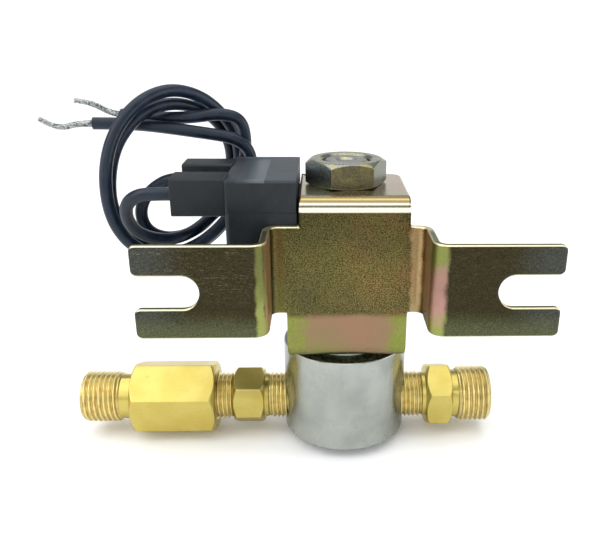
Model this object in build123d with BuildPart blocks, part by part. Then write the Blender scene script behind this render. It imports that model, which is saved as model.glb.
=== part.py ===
"""Solenoid valve for 24 V AC water feed: brass fittings, steel yoke with mounting ears, moulded coil.

Frame: origin at the centre of the valve body's flat base, on the plunger axis.
+Z runs up the plunger axis, +X points out of the outlet, and -Y is the side of the yoke's front plate.
Millimetres and degrees. Threads are plain cylinders at their major diameter.
"""
from build123d import *
import os
from math import pi, radians, tan

INCH = 25.4

# valve body
body_radius = 13.2
body_height = 20.5
boss_radius = 9.6
port_z = 6.05                    # height of the inlet and outlet axis
port_depth = 5.4                 # how far the pipe threads go into the body
passage_radius = 2.0
chamber_radius = 7.6
chamber_floor = 10.6
seat_z = 12.4
seat_radius = 2.2
orifice_radius = 1.0
bleed_x = -5.0                   # riser from the inlet passage up to the chamber
bleed_radius = 1.4
body_edge = 0.3

# pipe and tube threads
pipe_thread_radius = 5.05        # 1/8 pipe thread
inlet_thread_radius = 5.55       # 7/16-24
outlet_thread_radius = 6.1
tube_socket_radius = 3.2         # takes 1/4 inch tube
tube_socket_depth = 7.0
thread_chamfer = 0.7
corner_turning = 0.8             # length over depth of the cone that turns a fitting's corners back

# fittings along X, from the inlet end to the outlet end
inlet_end = -57.35
inlet_thread_end = -49.3
strainer_hex_start = -46.35
strainer_hex_end = -28.2
nipple_hex_start = -24.3
nipple_hex_end = -17.65
outlet_hex_start = 18.0
outlet_hex_end = 23.6
outlet_thread_start = 25.1
outlet_end = 32.15
strainer_hex_flats = 9 / 16 * INCH
nipple_hex_flats = 7 / 16 * INCH
outlet_hex_flats = 1 / 2 * INCH
strainer_hex_roll = 10.0         # top corner leans towards -Y: each stops where its thread tightens
nipple_hex_roll = -9.0
outlet_hex_roll = 6.5
nipple_engagement = 6.0          # nipple thread inside the strainer body
screen_radius = 3.6
screen_wall = 0.25
screen_length = 6.5
screen_collar_radius = 4.2
screen_collar_length = 1.2
nipple_bore_radius = 2.6
strainer_inlet_radius = 2.4
strainer_chamber_radius = 4.3
collar_radius = 4.8              # plain collar between a hexagon and its pipe thread
collar_length = 0.9
outlet_neck_radius = 5.3
flow_washer_radius = 3.0
flow_washer_length = 3.0
flow_hole_radius = 0.6

# yoke: one folded strip, C-shaped round the coil, with two ears set forward
sheet = 1.52
bend_inside = 1.3
bend_outside = bend_inside + sheet
yoke_front = -13.3
yoke_back = 8.6
yoke_half_width = 11.75
yoke_bottom = body_height + 1.2
yoke_top = 54.5
ear_front = -24.5
web_inside = 14.45               # inner face of the web that joins the plate and an ear
ear_end = 37.9
ear_bottom = 31.6
ear_top = 49.1
notch_left = -9.2                # the upper plate stops here, clear of the terminal box
slot_half_width = 3.05
slot_z = 40.4
slot_root = 26.35                # how near the slot's round end comes to the centre
plate_corner_radius = 2.6
stud_hole_radius = 4.95
tube_hole_radius = 5.35

# core tube, fixed core and plunger, all on the Z axis
tube_bore_radius = 4.4
tube_outer_radius = 4.85
flange_radius = 7.3
flange_bottom = 14.2
flange_thickness = 1.0
retainer_bore_radius = 5.1
tube_top = 51.0
stud_radius = 0.375 * INCH / 2   # 3/8-24
stud_top = 59.2
stud_dimple_radius = 2.2
stud_dimple_depth = 0.5
stud_dimple_taper = 40
plunger_radius = 4.3
plunger_bottom = 13.9
plunger_top = 37.5
plunger_edge = 0.4
plunger_flat = 0.4               # how deep each side is milled flat
stroke = 1.5
seal_radius = 2.6
seal_pocket_depth = 1.2
spring_pocket_radius = 2.2
plunger_pocket_depth = 6.0
core_pocket_depth = 3.0
spring_radius = 1.7
spring_wire_radius = 0.22
spring_turns = 7
shading_inner_radius = 2.9
shading_outer_radius = 3.7
shading_depth = 1.3
shading_recess = 0.1             # how far the ring sits inside the core's face
nut_flats = 9 / 16 * INCH
nut_height = 4.96
nut_turn = 8.0
nut_turning = 0.6
o_ring_radius = 6.4
o_ring_section = 0.7

# coil
coil_radius = 11.6
coil_bottom = yoke_bottom + sheet + 0.1
coil_top = yoke_top - sheet - 0.1
coil_end_wall = 1.0
coil_bore_radius = 5.0
bobbin_barrel_radius = 6.0
bobbin_flange_radius = 10.3
bobbin_flange = 1.2
winding_radius = 9.9
tape_radius = 10.2
coil_case_bore_radius = 10.35
coil_edge_chamfer = 0.8

# terminal box on the coil and the plug-on connectors
box_left = -23.0
box_right = -9.5
box_front = -11.7
box_back = 11.3
box_top = 57.5
box_bottom = 43.0
box_corner_radius = 0.8
panel_right = -15.4              # the recessed top panel reaches from here to the left face
panel_depth = 0.35
panel_rim = 0.9
terminal_offset = 6.65           # Y of each terminal, either side of the centre
terminal_z = 53.75
tab_width = 6.35                 # 1/4 inch tab
tab_thickness = 0.8
tab_out = 7.4
tab_in = 5.0
tab_tip = 0.9
housing_left = -33.3
housing_depth_y = 6.7
housing_height = 7.3
housing_wall_y = 1.2
housing_wall_z = 0.4
housing_end_wall = 1.9
housing_corner_radius = 0.5
housing_rear_chamfer = 0.35
receptacle_wall = 0.4
receptacle_length = 7.0

# leads: the route of each, from its connector, once round the ring and back out to the free end
lead_radius = 1.3
lead_bend = 0.45                 # share of the shorter run that each corner's arc takes
strand_radius = 0.7
front_lead_route = [
    (housing_left, -terminal_offset, terminal_z), (-37, -terminal_offset, terminal_z),
    (-40.5, -6, 53.3), (-43, -4.8, 51), (-43.5, -3, 47.8), (-42.8, -1, 44.8),
    (-40.5, 2, 42.2), (-37, 6, 40.6), (-33.6, 11.3, 40.6),
    (-30.3, 16, 42.6), (-26.8, 18.6, 45.5), (-24.5, 20.5, 50), (-23.5, 21, 55), (-24, 20.5, 60.5),
    (-26.5, 18.5, 65.5), (-30.5, 16, 69.5), (-35.5, 12.8, 71.3), (-40, 9, 70.3), (-43.8, 5.8, 67.2),
    (-46.5, 3, 62.8), (-47.8, 1, 57.5), (-48, 0, 51.8), (-47.2, 0, 46.2), (-44.8, 1.5, 41),
    (-41, 4.2, 37.8), (-36.5, 7.5, 37), (-31.5, 10.4, 38.5), (-26.5, 12.5, 42.5), (-22.8, 13.2, 48),
    (-20.2, 13.4, 53.5), (-20.2, 13.4, 58.5), (-23.5, 13, 61.2), (-29.5, 12.6, 62.2), (-36, 12.1, 63.2),
    (-42, 12.3, 63.9), (-47.8, 13, 64.1), (-53, 13, 64.1),
]
rear_lead_route = [
    (housing_left, terminal_offset, terminal_z), (-36.4, terminal_offset, terminal_z),
    (-39.8, 6.6, 52), (-42.4, 6.4, 49.3), (-43.3, 6.4, 45.8), (-42.3, 7.2, 42.3),
    (-39.5, 9.3, 40), (-35.8, 13, 39.3), (-32, 17.2, 40.4),
    (-29, 20.6, 43.8), (-26.7, 22.6, 48.5), (-25.5, 23, 54), (-26, 22.3, 59.5), (-28.3, 20.4, 64),
    (-32, 17.6, 67), (-36.5, 14.5, 68.3), (-41, 11, 67.3), (-44.5, 7.8, 64.3), (-47, 5.4, 60),
    (-48.2, 4, 54.5), (-48.3, 3.5, 49), (-47, 4.2, 43.5), (-44.3, 6.2, 39.2), (-40.2, 8.8, 36.7),
    (-35.3, 11.4, 36.4), (-30.5, 13.6, 38.2), (-26.3, 15.5, 42.2), (-23.7, 16.3, 48), (-22.3, 16.4, 54),
    (-21.3, 16.4, 60), (-22.2, 16, 64.8), (-26.5, 15.2, 66), (-32, 14.3, 65.3), (-37.5, 14.8, 65),
    (-43, 16, 65.2), (-48, 17, 65.4),
]
front_strand_route = [
    front_lead_route[-1], (-56.2, 13, 64.1), (-59.4, 13.1, 63.1), (-62.2, 13, 63.8), (-64.2, 13, 65),
]
rear_strand_route = [
    rear_lead_route[-1], (-50, 17.4, 65.48), (-53.2, 17.4, 67.3), (-55.8, 17.2, 68.1), (-57.8, 17.3, 68.3),
]

# a piece that stands on its workplane
standing = (Align.CENTER, Align.CENTER, Align.MIN)

os.makedirs("parts", exist_ok=True)


def save(name, builder):
    """Label a finished piece and write it as one STEP file."""
    builder.part.label = name
    export_step(builder.part, f"parts/{name}.step")
    print(f"{name:24s} {builder.part.volume:9.1f} mm3")


def hexagon_radius(flats):
    """Corner radius of a hexagon from its width across flats."""
    return flats / 3 ** 0.5


# ---- valve body: turned cup with two side ports, a raised seat and a boss that carries the yoke
with BuildPart() as valve_body:
    Cylinder(body_radius, body_height, align=standing)
    chamfer(valve_body.edges().filter_by(GeomType.CIRCLE), body_edge)
    with Locations((0, 0, body_height)):
        Cylinder(boss_radius, yoke_bottom - body_height, align=standing)
    with Locations((0, 0, chamber_floor)):
        Cylinder(chamber_radius, yoke_bottom, align=standing, mode=Mode.SUBTRACT)
    with Locations((0, 0, port_z)):
        Cylinder(seat_radius, seat_z - port_z, align=standing)
        Cylinder(orifice_radius, seat_z - port_z, align=standing, mode=Mode.SUBTRACT)
    with Locations((bleed_x, 0, port_z)):
        Cylinder(bleed_radius, chamber_floor - port_z, align=standing, mode=Mode.SUBTRACT)
    with BuildSketch(Plane.YZ.offset(-body_radius)):
        with Locations((0, port_z)):
            Circle(pipe_thread_radius)
    extrude(amount=port_depth, mode=Mode.SUBTRACT)
    with BuildSketch(Plane.YZ.offset(-body_radius)):
        with Locations((0, port_z)):
            Circle(passage_radius)
    extrude(amount=body_radius + bleed_x + bleed_radius, mode=Mode.SUBTRACT)
    with BuildSketch(Plane.YZ.offset(body_radius - port_depth)):
        with Locations((0, port_z)):
            Circle(pipe_thread_radius)
    extrude(amount=port_depth, mode=Mode.SUBTRACT)
    with BuildSketch(Plane.YZ):
        with Locations((0, port_z)):
            Circle(passage_radius)
    extrude(amount=body_radius, mode=Mode.SUBTRACT)
save("valve_body", valve_body)


# ---- fittings: each is turned from hexagon bar, with its bores along the port axis
port_axis = Axis((0, 0, port_z), (1, 0, 0))


def hexagon_bar(start, end, flats, roll):
    """A length of hexagon bar along the port axis, with its corners turned back at both ends."""
    corner = hexagon_radius(flats)
    slope = (corner - flats / 2) * corner_turning
    with BuildPart() as bar:
        with BuildSketch(Plane.YZ.offset(start)):
            with Locations((0, port_z)):
                RegularPolygon(corner, 6, rotation=90 + roll)
        extrude(amount=end - start)
        with BuildSketch(Plane.XZ):
            with BuildLine():
                Polyline(
                    (start, port_z), (start, port_z + flats / 2), (start + slope, port_z + corner),
                    (end - slope, port_z + corner), (end, port_z + flats / 2), (end, port_z), close=True)
            make_face()
        revolve(axis=port_axis, mode=Mode.INTERSECT)
    return bar.part


def turned_fitting(outline, bores, hexagon):
    """A fitting from its (x, radius) outline, its (start, end, radius) bores and its hexagon bar."""
    first, last = outline[0][0], outline[-1][0]
    with BuildPart() as fitting:
        with BuildSketch(Plane.XZ):
            with BuildLine():
                Polyline(*[(x, port_z + r) for x, r in outline], (last, port_z), (first, port_z), close=True)
            make_face()
        revolve(axis=port_axis)
        add(hexagon)
        for start, end, radius in bores:
            with BuildSketch(Plane.YZ.offset(start)):
                with Locations((0, port_z)):
                    Circle(radius)
            extrude(amount=end - start, mode=Mode.SUBTRACT)
    return fitting


def threaded(start, end, radius):
    """Outline steps of a thread with a chamfer at both ends."""
    c = thread_chamfer
    return [(start, radius - c), (start + c, radius), (end - c, radius), (end, radius - c)]


nipple_start = strainer_hex_end - nipple_engagement
nipple_end = port_depth - body_radius
strainer_body = turned_fitting(
    threaded(inlet_end, inlet_thread_end, inlet_thread_radius)
    + [(strainer_hex_start + 1, inlet_thread_radius - thread_chamfer),
       (strainer_hex_start + 1, strainer_hex_flats / 2), (strainer_hex_end - 1, strainer_hex_flats / 2)],
    [(inlet_end, inlet_end + tube_socket_depth, tube_socket_radius),
     (inlet_end, strainer_hex_start + 5, strainer_inlet_radius),
     (strainer_hex_start + 4, strainer_hex_end, strainer_chamber_radius),
     (nipple_start, strainer_hex_end, pipe_thread_radius)],
    hexagon_bar(strainer_hex_start, strainer_hex_end, strainer_hex_flats, strainer_hex_roll))
save("strainer_body", strainer_body)

inlet_nipple = turned_fitting(
    threaded(nipple_start, nipple_hex_start + 0.4, pipe_thread_radius)
    + [(nipple_hex_end + collar_length, collar_radius)]
    + threaded(nipple_hex_end + collar_length, nipple_end, pipe_thread_radius),
    [(nipple_start, nipple_end, nipple_bore_radius)],
    hexagon_bar(nipple_hex_start, nipple_hex_end, nipple_hex_flats, nipple_hex_roll))
save("inlet_nipple", inlet_nipple)

outlet_start = body_radius - port_depth
outlet_connector = turned_fitting(
    threaded(outlet_start, outlet_hex_start - collar_length, pipe_thread_radius)
    + [(outlet_hex_start, collar_radius), (outlet_hex_end, outlet_neck_radius),
       (outlet_thread_start, outlet_neck_radius)]
    + threaded(outlet_thread_start, outlet_end, outlet_thread_radius),
    [(outlet_start, outlet_start + flow_washer_length, flow_washer_radius),
     (outlet_start, outlet_end, passage_radius),
     (outlet_end - tube_socket_depth, outlet_end, tube_socket_radius)],
    hexagon_bar(outlet_hex_start, outlet_hex_end, outlet_hex_flats, outlet_hex_roll))
save("outlet_connector", outlet_connector)

# a mesh thimble in the strainer body, held against its step by the end of the nipple
with BuildPart() as strainer_screen:
    screen_end = nipple_start - screen_collar_length
    with BuildSketch(Plane.YZ.offset(screen_end - screen_length)):
        with Locations((0, port_z)):
            Circle(screen_radius)
    extrude(amount=screen_length)
    with BuildSketch(Plane.YZ.offset(screen_end - screen_length + screen_wall)):
        with Locations((0, port_z)):
            Circle(screen_radius - screen_wall)
    extrude(amount=screen_length, mode=Mode.SUBTRACT)
save("strainer_screen", strainer_screen)

with BuildPart() as screen_collar:
    with BuildSketch(Plane.YZ.offset(screen_end)):
        with Locations((0, port_z)):
            Circle(screen_collar_radius)
            Circle(nipple_bore_radius, mode=Mode.SUBTRACT)
    extrude(amount=screen_collar_length)
save("screen_collar", screen_collar)

# the flow washer sits in the counterbore at the inner end of the outlet connector
with BuildPart() as flow_washer:
    with BuildSketch(Plane.YZ.offset(outlet_start)):
        with Locations((0, port_z)):
            Circle(flow_washer_radius)
            Circle(flow_hole_radius, mode=Mode.SUBTRACT)
    extrude(amount=flow_washer_length)
save("flow_washer", flow_washer)


# ---- yoke bracket: one strip folded into a C round the coil, its front plate widened into two ears
with BuildPart() as yoke_bracket:
    with BuildSketch(Plane.YZ):
        with BuildLine() as c_outside:
            FilletPolyline(
                (yoke_back, yoke_top), (yoke_front, yoke_top),
                (yoke_front, yoke_bottom), (yoke_back, yoke_bottom), radius=bend_outside)
        with BuildLine() as c_inside:
            FilletPolyline(
                (yoke_back, yoke_top - sheet), (yoke_front + sheet, yoke_top - sheet),
                (yoke_front + sheet, yoke_bottom + sheet), (yoke_back, yoke_bottom + sheet),
                radius=bend_inside)
            Line((yoke_back, yoke_top - sheet), (yoke_back, yoke_top))
            Line((yoke_back, yoke_bottom + sheet), (yoke_back, yoke_bottom))
        make_face([*c_outside.edges(), *c_inside.edges()])
    extrude(amount=yoke_half_width, both=True)
    # the upper plate is cut back on the left, beside the terminal box
    with Locations((notch_left, 0, ear_top)):
        Box(yoke_half_width, 40, 10, align=(Align.MAX, Align.CENTER, Align.MIN), mode=Mode.SUBTRACT)
    for side in (-1, 1):
        with BuildSketch(Plane.XY.offset(ear_bottom)):
            with BuildLine() as front_line:
                FilletPolyline(
                    (0, yoke_front), (side * web_inside, yoke_front), (side * web_inside, ear_front),
                    (side * ear_end, ear_front), radius=[bend_inside, bend_outside])
            with BuildLine() as back_line:
                FilletPolyline(
                    (0, yoke_front + sheet), (side * (web_inside + sheet), yoke_front + sheet),
                    (side * (web_inside + sheet), ear_front + sheet), (side * ear_end, ear_front + sheet),
                    radius=[bend_outside, bend_inside])
                Line((0, yoke_front), (0, yoke_front + sheet))
                Line((side * ear_end, ear_front), (side * ear_end, ear_front + sheet))
            make_face([*front_line.edges(), *back_line.edges()])
        extrude(amount=ear_top - ear_bottom)
        # open-ended slot with a round root
        with BuildSketch(Plane.XZ.offset(-ear_front + 1)):
            with Locations((side * (slot_root + slot_half_width), slot_z)):
                Circle(slot_half_width)
            with Locations((side * (slot_root + slot_half_width + ear_end) / 2, slot_z)):
                Rectangle(ear_end - slot_root - slot_half_width, 2 * slot_half_width)
        extrude(amount=-sheet - 2, mode=Mode.SUBTRACT)
    # the valve's guide passes through the lower plate and the threaded stud through the upper one
    with Locations((0, 0, yoke_bottom)):
        Cylinder(tube_hole_radius, sheet, align=standing, mode=Mode.SUBTRACT)
    with Locations((0, 0, yoke_top)):
        Cylinder(stud_hole_radius, sheet, align=(Align.CENTER, Align.CENTER, Align.MAX), mode=Mode.SUBTRACT)
    upright_edges = yoke_bracket.edges().filter_by(Axis.Z)
    rear_corners = upright_edges.filter_by_position(Axis.Y, yoke_back - 0.01, yoke_back + 0.01)
    fillet(rear_corners, plate_corner_radius)
save("yoke_bracket", yoke_bracket)


# ---- core assembly on the plunger axis
def ring(outer, inner, bottom, height):
    """A plain ring about the plunger axis."""
    with BuildPart() as piece:
        with BuildSketch(Plane.XY.offset(bottom)):
            Circle(outer)
            Circle(inner, mode=Mode.SUBTRACT)
        extrude(amount=height)
    return piece


# the guide tube is drawn from stainless strip: its flange is clamped in the body, the core closes its top
with BuildPart() as core_tube:
    with BuildSketch(Plane.XY.offset(flange_bottom)):
        Circle(flange_radius)
        Circle(tube_bore_radius, mode=Mode.SUBTRACT)
    extrude(amount=flange_thickness)
    with BuildSketch(Plane.XY.offset(flange_bottom)):
        Circle(tube_outer_radius)
        Circle(tube_bore_radius, mode=Mode.SUBTRACT)
    extrude(amount=tube_top - flange_bottom)
save("core_tube", core_tube)

o_ring_z = chamber_floor + o_ring_section
with BuildPart() as body_o_ring:
    with BuildSketch(Plane.XZ):
        with Locations((o_ring_radius, o_ring_z)):
            Circle(o_ring_section)
    revolve(axis=Axis.Z)
save("body_o_ring", body_o_ring)

spacer_bottom = chamber_floor + 2 * o_ring_section
tube_spacer = ring(chamber_radius, tube_bore_radius, spacer_bottom, flange_bottom - spacer_bottom)
save("tube_spacer", tube_spacer)

retainer_bottom = flange_bottom + flange_thickness
retaining_ring = ring(chamber_radius, retainer_bore_radius, retainer_bottom, yoke_bottom - retainer_bottom)
save("retaining_ring", retaining_ring)

# the fixed core is brazed into the top of the tube and carries the stud for the nut
with BuildPart() as fixed_core:
    with BuildSketch(Plane.XY.offset(plunger_top + stroke)):
        Circle(tube_bore_radius)
    extrude(amount=tube_top - plunger_top - stroke)
    with BuildSketch(Plane.XY.offset(tube_top)):
        Circle(stud_radius)
    extrude(amount=stud_top - tube_top)
    chamfer(fixed_core.edges().group_by(Axis.Z)[-1], thread_chamfer)
    with BuildSketch(Plane.XY.offset(stud_top)):
        Circle(stud_dimple_radius)
    extrude(amount=-stud_dimple_depth, taper=stud_dimple_taper, mode=Mode.SUBTRACT)
    with BuildSketch(Plane.XY.offset(plunger_top + stroke)):
        Circle(spring_pocket_radius)
    extrude(amount=core_pocket_depth, mode=Mode.SUBTRACT)
    with BuildSketch(Plane.XY.offset(plunger_top + stroke)):
        Circle(shading_outer_radius)
        Circle(shading_inner_radius, mode=Mode.SUBTRACT)
    extrude(amount=shading_depth, mode=Mode.SUBTRACT)
save("fixed_core", fixed_core)

shading_bottom = plunger_top + stroke + shading_recess
shading_height = shading_depth - shading_recess
shading_ring = ring(shading_outer_radius, shading_inner_radius, shading_bottom, shading_height)
save("shading_ring", shading_ring)

with BuildPart() as plunger:
    with BuildSketch(Plane.XY.offset(plunger_bottom)):
        Circle(plunger_radius)
    extrude(amount=plunger_top - plunger_bottom)
    chamfer(plunger.edges().filter_by(GeomType.CIRCLE), plunger_edge)
    with BuildSketch(Plane.XY.offset(plunger_top)):
        Circle(spring_pocket_radius)
    extrude(amount=-plunger_pocket_depth, mode=Mode.SUBTRACT)
    with BuildSketch(Plane.XY.offset(plunger_bottom)):
        Circle(seal_radius)
    extrude(amount=seal_pocket_depth, mode=Mode.SUBTRACT)
    # flats down two sides let the water past
    for side in (-1, 1):
        outward = Align.MIN if side > 0 else Align.MAX
        with Locations((side * (plunger_radius - plunger_flat), 0, plunger_bottom)):
            Box(plunger_radius, 2 * plunger_radius, plunger_top - plunger_bottom,
                align=(outward, Align.CENTER, Align.MIN), mode=Mode.SUBTRACT)
save("plunger", plunger)

with BuildPart() as plunger_seal:
    with BuildSketch(Plane.XY.offset(seat_z)):
        Circle(seal_radius)
    extrude(amount=plunger_bottom + seal_pocket_depth - seat_z)
save("plunger_seal", plunger_seal)

spring_bottom = plunger_top - plunger_pocket_depth + spring_wire_radius
spring_height = plunger_pocket_depth + stroke + core_pocket_depth - 2 * spring_wire_radius
with BuildPart() as plunger_spring:
    with BuildLine() as coil_line:
        Helix(pitch=spring_height / spring_turns, height=spring_height, radius=spring_radius,
              center=(0, 0, spring_bottom))
    with BuildSketch(Plane(coil_line.line @ 0, z_dir=coil_line.line % 0)):
        Circle(spring_wire_radius)
    sweep(is_frenet=True)
save("plunger_spring", plunger_spring)

# jam nut that clamps the yoke on the stud
with BuildPart() as coil_nut:
    with BuildSketch(Plane.XY.offset(yoke_top)):
        RegularPolygon(hexagon_radius(nut_flats), 6, rotation=nut_turn)
    extrude(amount=nut_height)
    nut_slope = (hexagon_radius(nut_flats) - nut_flats / 2) * nut_turning
    with BuildSketch(Plane.XZ):
        with BuildLine():
            Polyline(
                (0, yoke_top), (hexagon_radius(nut_flats), yoke_top),
                (hexagon_radius(nut_flats), yoke_top + nut_height - nut_slope),
                (nut_flats / 2, yoke_top + nut_height), (0, yoke_top + nut_height), close=True)
        make_face()
    revolve(axis=Axis.Z, mode=Mode.INTERSECT)
    with BuildSketch(Plane.XY.offset(yoke_top)):
        Circle(stud_radius)
    extrude(amount=nut_height, mode=Mode.SUBTRACT)
save("coil_nut", coil_nut)

# ---- coil: bobbin, winding and tape inside a moulded case
inner_bottom = coil_bottom + coil_end_wall
inner_top = coil_top - coil_end_wall
with BuildPart() as bobbin:
    with BuildSketch(Plane.XY.offset(inner_bottom)):
        Circle(bobbin_barrel_radius)
    extrude(amount=inner_top - inner_bottom)
    for flange_z in (inner_bottom, inner_top - bobbin_flange):
        with BuildSketch(Plane.XY.offset(flange_z)):
            Circle(bobbin_flange_radius)
        extrude(amount=bobbin_flange)
    with BuildSketch(Plane.XY.offset(inner_bottom)):
        Circle(coil_bore_radius)
    extrude(amount=inner_top - inner_bottom, mode=Mode.SUBTRACT)
save("bobbin", bobbin)

winding_bottom = inner_bottom + bobbin_flange
winding_height = inner_top - inner_bottom - 2 * bobbin_flange
copper_winding = ring(winding_radius, bobbin_barrel_radius, winding_bottom, winding_height)
save("copper_winding", copper_winding)
winding_tape = ring(tape_radius, winding_radius, winding_bottom, winding_height)
save("winding_tape", winding_tape)

box_middle_y = (box_front + box_back) / 2
box_length = box_right - box_left
box_width = box_back - box_front
with BuildPart() as coil_case:
    with BuildSketch(Plane.XY.offset(coil_bottom)):
        Circle(coil_radius)
    extrude(amount=coil_top - coil_bottom)
    chamfer(coil_case.edges().filter_by(GeomType.CIRCLE), coil_edge_chamfer)
    # terminal box on the left flank of the coil
    with BuildSketch(Plane.XY.offset(box_bottom)):
        with Locations(((box_left + box_right) / 2, box_middle_y)):
            Rectangle(box_length, box_width)
    extrude(amount=box_top - box_bottom)
    upright_edges = coil_case.edges().filter_by(Axis.Z)
    fillet(upright_edges.filter_by_position(Axis.X, box_left - 0.1, box_left + 0.1), box_corner_radius)
    # the top panel over the terminals is set in between two rims
    with BuildSketch(Plane.XY.offset(box_top)):
        with Locations(((box_left + panel_right) / 2, box_middle_y)):
            Rectangle(panel_right - box_left, box_width - 2 * panel_rim)
    extrude(amount=-panel_depth, mode=Mode.SUBTRACT)
    # room for the bobbin, and the bore for the guide tube
    with BuildSketch(Plane.XY.offset(inner_bottom)):
        Circle(coil_case_bore_radius)
    extrude(amount=inner_top - inner_bottom, mode=Mode.SUBTRACT)
    with BuildSketch(Plane.XY.offset(coil_bottom)):
        Circle(coil_bore_radius)
    extrude(amount=box_top - coil_bottom, mode=Mode.SUBTRACT)
    # slots that hold the two terminals
    for side in (-1, 1):
        with BuildSketch(Plane.YZ.offset(box_left)):
            with Locations((side * terminal_offset, terminal_z)):
                Rectangle(tab_thickness, tab_width)
        extrude(amount=tab_in, mode=Mode.SUBTRACT)
save("coil_case", coil_case)

# ---- one terminal, its receptacle and its plug-on housing for each lead
for end_name, side in (("front", -1), ("rear", 1)):
    middle = side * terminal_offset
    with BuildPart() as spade_terminal:
        with BuildSketch(Plane.YZ.offset(box_left - tab_out)):
            with Locations((middle, terminal_z)):
                Rectangle(tab_thickness, tab_width)
        extrude(amount=tab_out + tab_in)
        tip = spade_terminal.edges().filter_by(Axis.Y).group_by(Axis.X)[0]
        chamfer(tip, tab_tip)
    save(f"spade_terminal_{end_name}", spade_terminal)

    inside_left = housing_left + housing_end_wall
    with BuildPart() as connector_housing:
        with BuildSketch(Plane.YZ.offset(housing_left)):
            with Locations((middle, terminal_z)):
                RectangleRounded(housing_depth_y, housing_height, housing_corner_radius)
        extrude(amount=box_left - housing_left)
        chamfer(connector_housing.faces().sort_by(Axis.X)[0].edges(), housing_rear_chamfer)
        with BuildSketch(Plane.YZ.offset(inside_left)):
            with Locations((middle, terminal_z)):
                Rectangle(housing_depth_y - 2 * housing_wall_y, housing_height - 2 * housing_wall_z)
        extrude(amount=box_left - inside_left, mode=Mode.SUBTRACT)
        with BuildSketch(Plane.YZ.offset(housing_left)):
            with Locations((middle, terminal_z)):
                Circle(strand_radius)
        extrude(amount=housing_end_wall, mode=Mode.SUBTRACT)
    save(f"connector_housing_{end_name}", connector_housing)

    # a brass channel gripping the tab, with a crimp barrel on the conductor behind it
    receptacle_left = box_left - 0.4 - receptacle_length
    with BuildPart() as crimp_receptacle:
        with BuildSketch(Plane.YZ.offset(receptacle_left)):
            with Locations((middle, terminal_z)):
                Rectangle(tab_thickness + 2 * receptacle_wall, tab_width)
                Rectangle(tab_thickness, tab_width, mode=Mode.SUBTRACT)
        extrude(amount=receptacle_length)
        with BuildSketch(Plane.YZ.offset(inside_left)):
            with Locations((middle, terminal_z)):
                Rectangle(tab_thickness + 2 * receptacle_wall, 2 * lead_radius)
                Circle(strand_radius, mode=Mode.SUBTRACT)
        extrude(amount=receptacle_left - inside_left)
    save(f"crimp_receptacle_{end_name}", crimp_receptacle)


# ---- leads: straight runs joined by tangent arcs
def route_radii(route):
    """Arc radius at each inner corner: a share of the shorter run over the tangent of half the turn."""
    points = [Vector(*p) for p in route]
    radii = []
    for before, corner, after in zip(points, points[1:], points[2:]):
        run_in, run_out = corner - before, after - corner
        half_turn = radians(run_in.get_angle(run_out)) / 2
        radii.append(lead_bend * min(run_in.length, run_out.length) / tan(half_turn))
    return radii


def round_wire(name, route, radius):
    """A round wire along a route, printed with its bend radii and its volume against length times section."""
    radii = route_radii(route)
    with BuildPart() as wire:
        with BuildLine() as path:
            FilletPolyline(*route, radius=radii)
        with BuildSketch(Plane(path.line @ 0, z_dir=path.line % 0)):
            Circle(radius)
        sweep()
    length = sum(edge.length for edge in path.edges())
    ideal = pi * radius ** 2 * length
    print(f"{name}: length {length:.1f}, volume/ideal {wire.part.volume / ideal:.4f}, "
          f"radii {', '.join(f'{r:.1f}' for r in radii)}")
    save(name, wire)


round_wire("lead_wire_front", front_lead_route, lead_radius)
round_wire("lead_wire_rear", rear_lead_route, lead_radius)
round_wire("bare_end_front", front_strand_route, strand_radius)
round_wire("bare_end_rear", rear_strand_route, strand_radius)
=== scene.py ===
import math

import bmesh
import bpy
from mathutils import Matrix, Vector


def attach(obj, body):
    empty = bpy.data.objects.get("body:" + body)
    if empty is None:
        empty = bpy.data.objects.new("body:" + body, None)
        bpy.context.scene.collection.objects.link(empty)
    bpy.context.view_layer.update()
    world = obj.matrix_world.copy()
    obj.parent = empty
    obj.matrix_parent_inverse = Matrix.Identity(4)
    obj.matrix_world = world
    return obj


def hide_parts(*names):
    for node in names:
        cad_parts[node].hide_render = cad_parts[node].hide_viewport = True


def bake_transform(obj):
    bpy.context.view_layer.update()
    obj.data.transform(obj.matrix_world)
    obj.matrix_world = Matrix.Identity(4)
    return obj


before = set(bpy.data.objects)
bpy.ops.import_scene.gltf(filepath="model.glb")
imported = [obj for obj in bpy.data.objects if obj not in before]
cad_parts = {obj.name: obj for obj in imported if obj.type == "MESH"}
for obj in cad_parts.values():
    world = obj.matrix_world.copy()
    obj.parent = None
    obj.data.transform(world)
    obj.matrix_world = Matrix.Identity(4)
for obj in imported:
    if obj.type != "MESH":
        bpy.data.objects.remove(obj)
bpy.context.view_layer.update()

mm = 0.001


# ---- Camera: in front of the yoke's plate, a little left of the plunger axis, looking down at it.
# It keeps the long sides of the ears almost level.
yaw = math.radians(2.09)
pitch = math.radians(20.79)
tilt = math.radians(0.54)
forward = Vector((math.sin(yaw) * math.cos(pitch), math.cos(yaw) * math.cos(pitch), -math.sin(pitch)))
level = Vector((math.cos(yaw), -math.sin(yaw), 0))
upright = level.cross(forward)
right = level * math.cos(tilt) + upright * math.sin(tilt)
up = upright * math.cos(tilt) - level * math.sin(tilt)
camera = bpy.data.objects.new("camera", bpy.data.cameras.new("camera"))
bpy.context.scene.collection.objects.link(camera)
camera.matrix_world = Matrix((right, up, -forward)).transposed().to_4x4()
camera.location = Vector((-4.865, -137.318, 85.997)) * mm
camera.data.sensor_width = 36
camera.data.lens = 41.69
camera.data.shift_x = -0.0765
camera.data.clip_start = 0.01
camera.data.clip_end = 20
bpy.context.scene.camera = camera
bpy.context.scene.view_settings.view_transform = "Standard"


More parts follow.
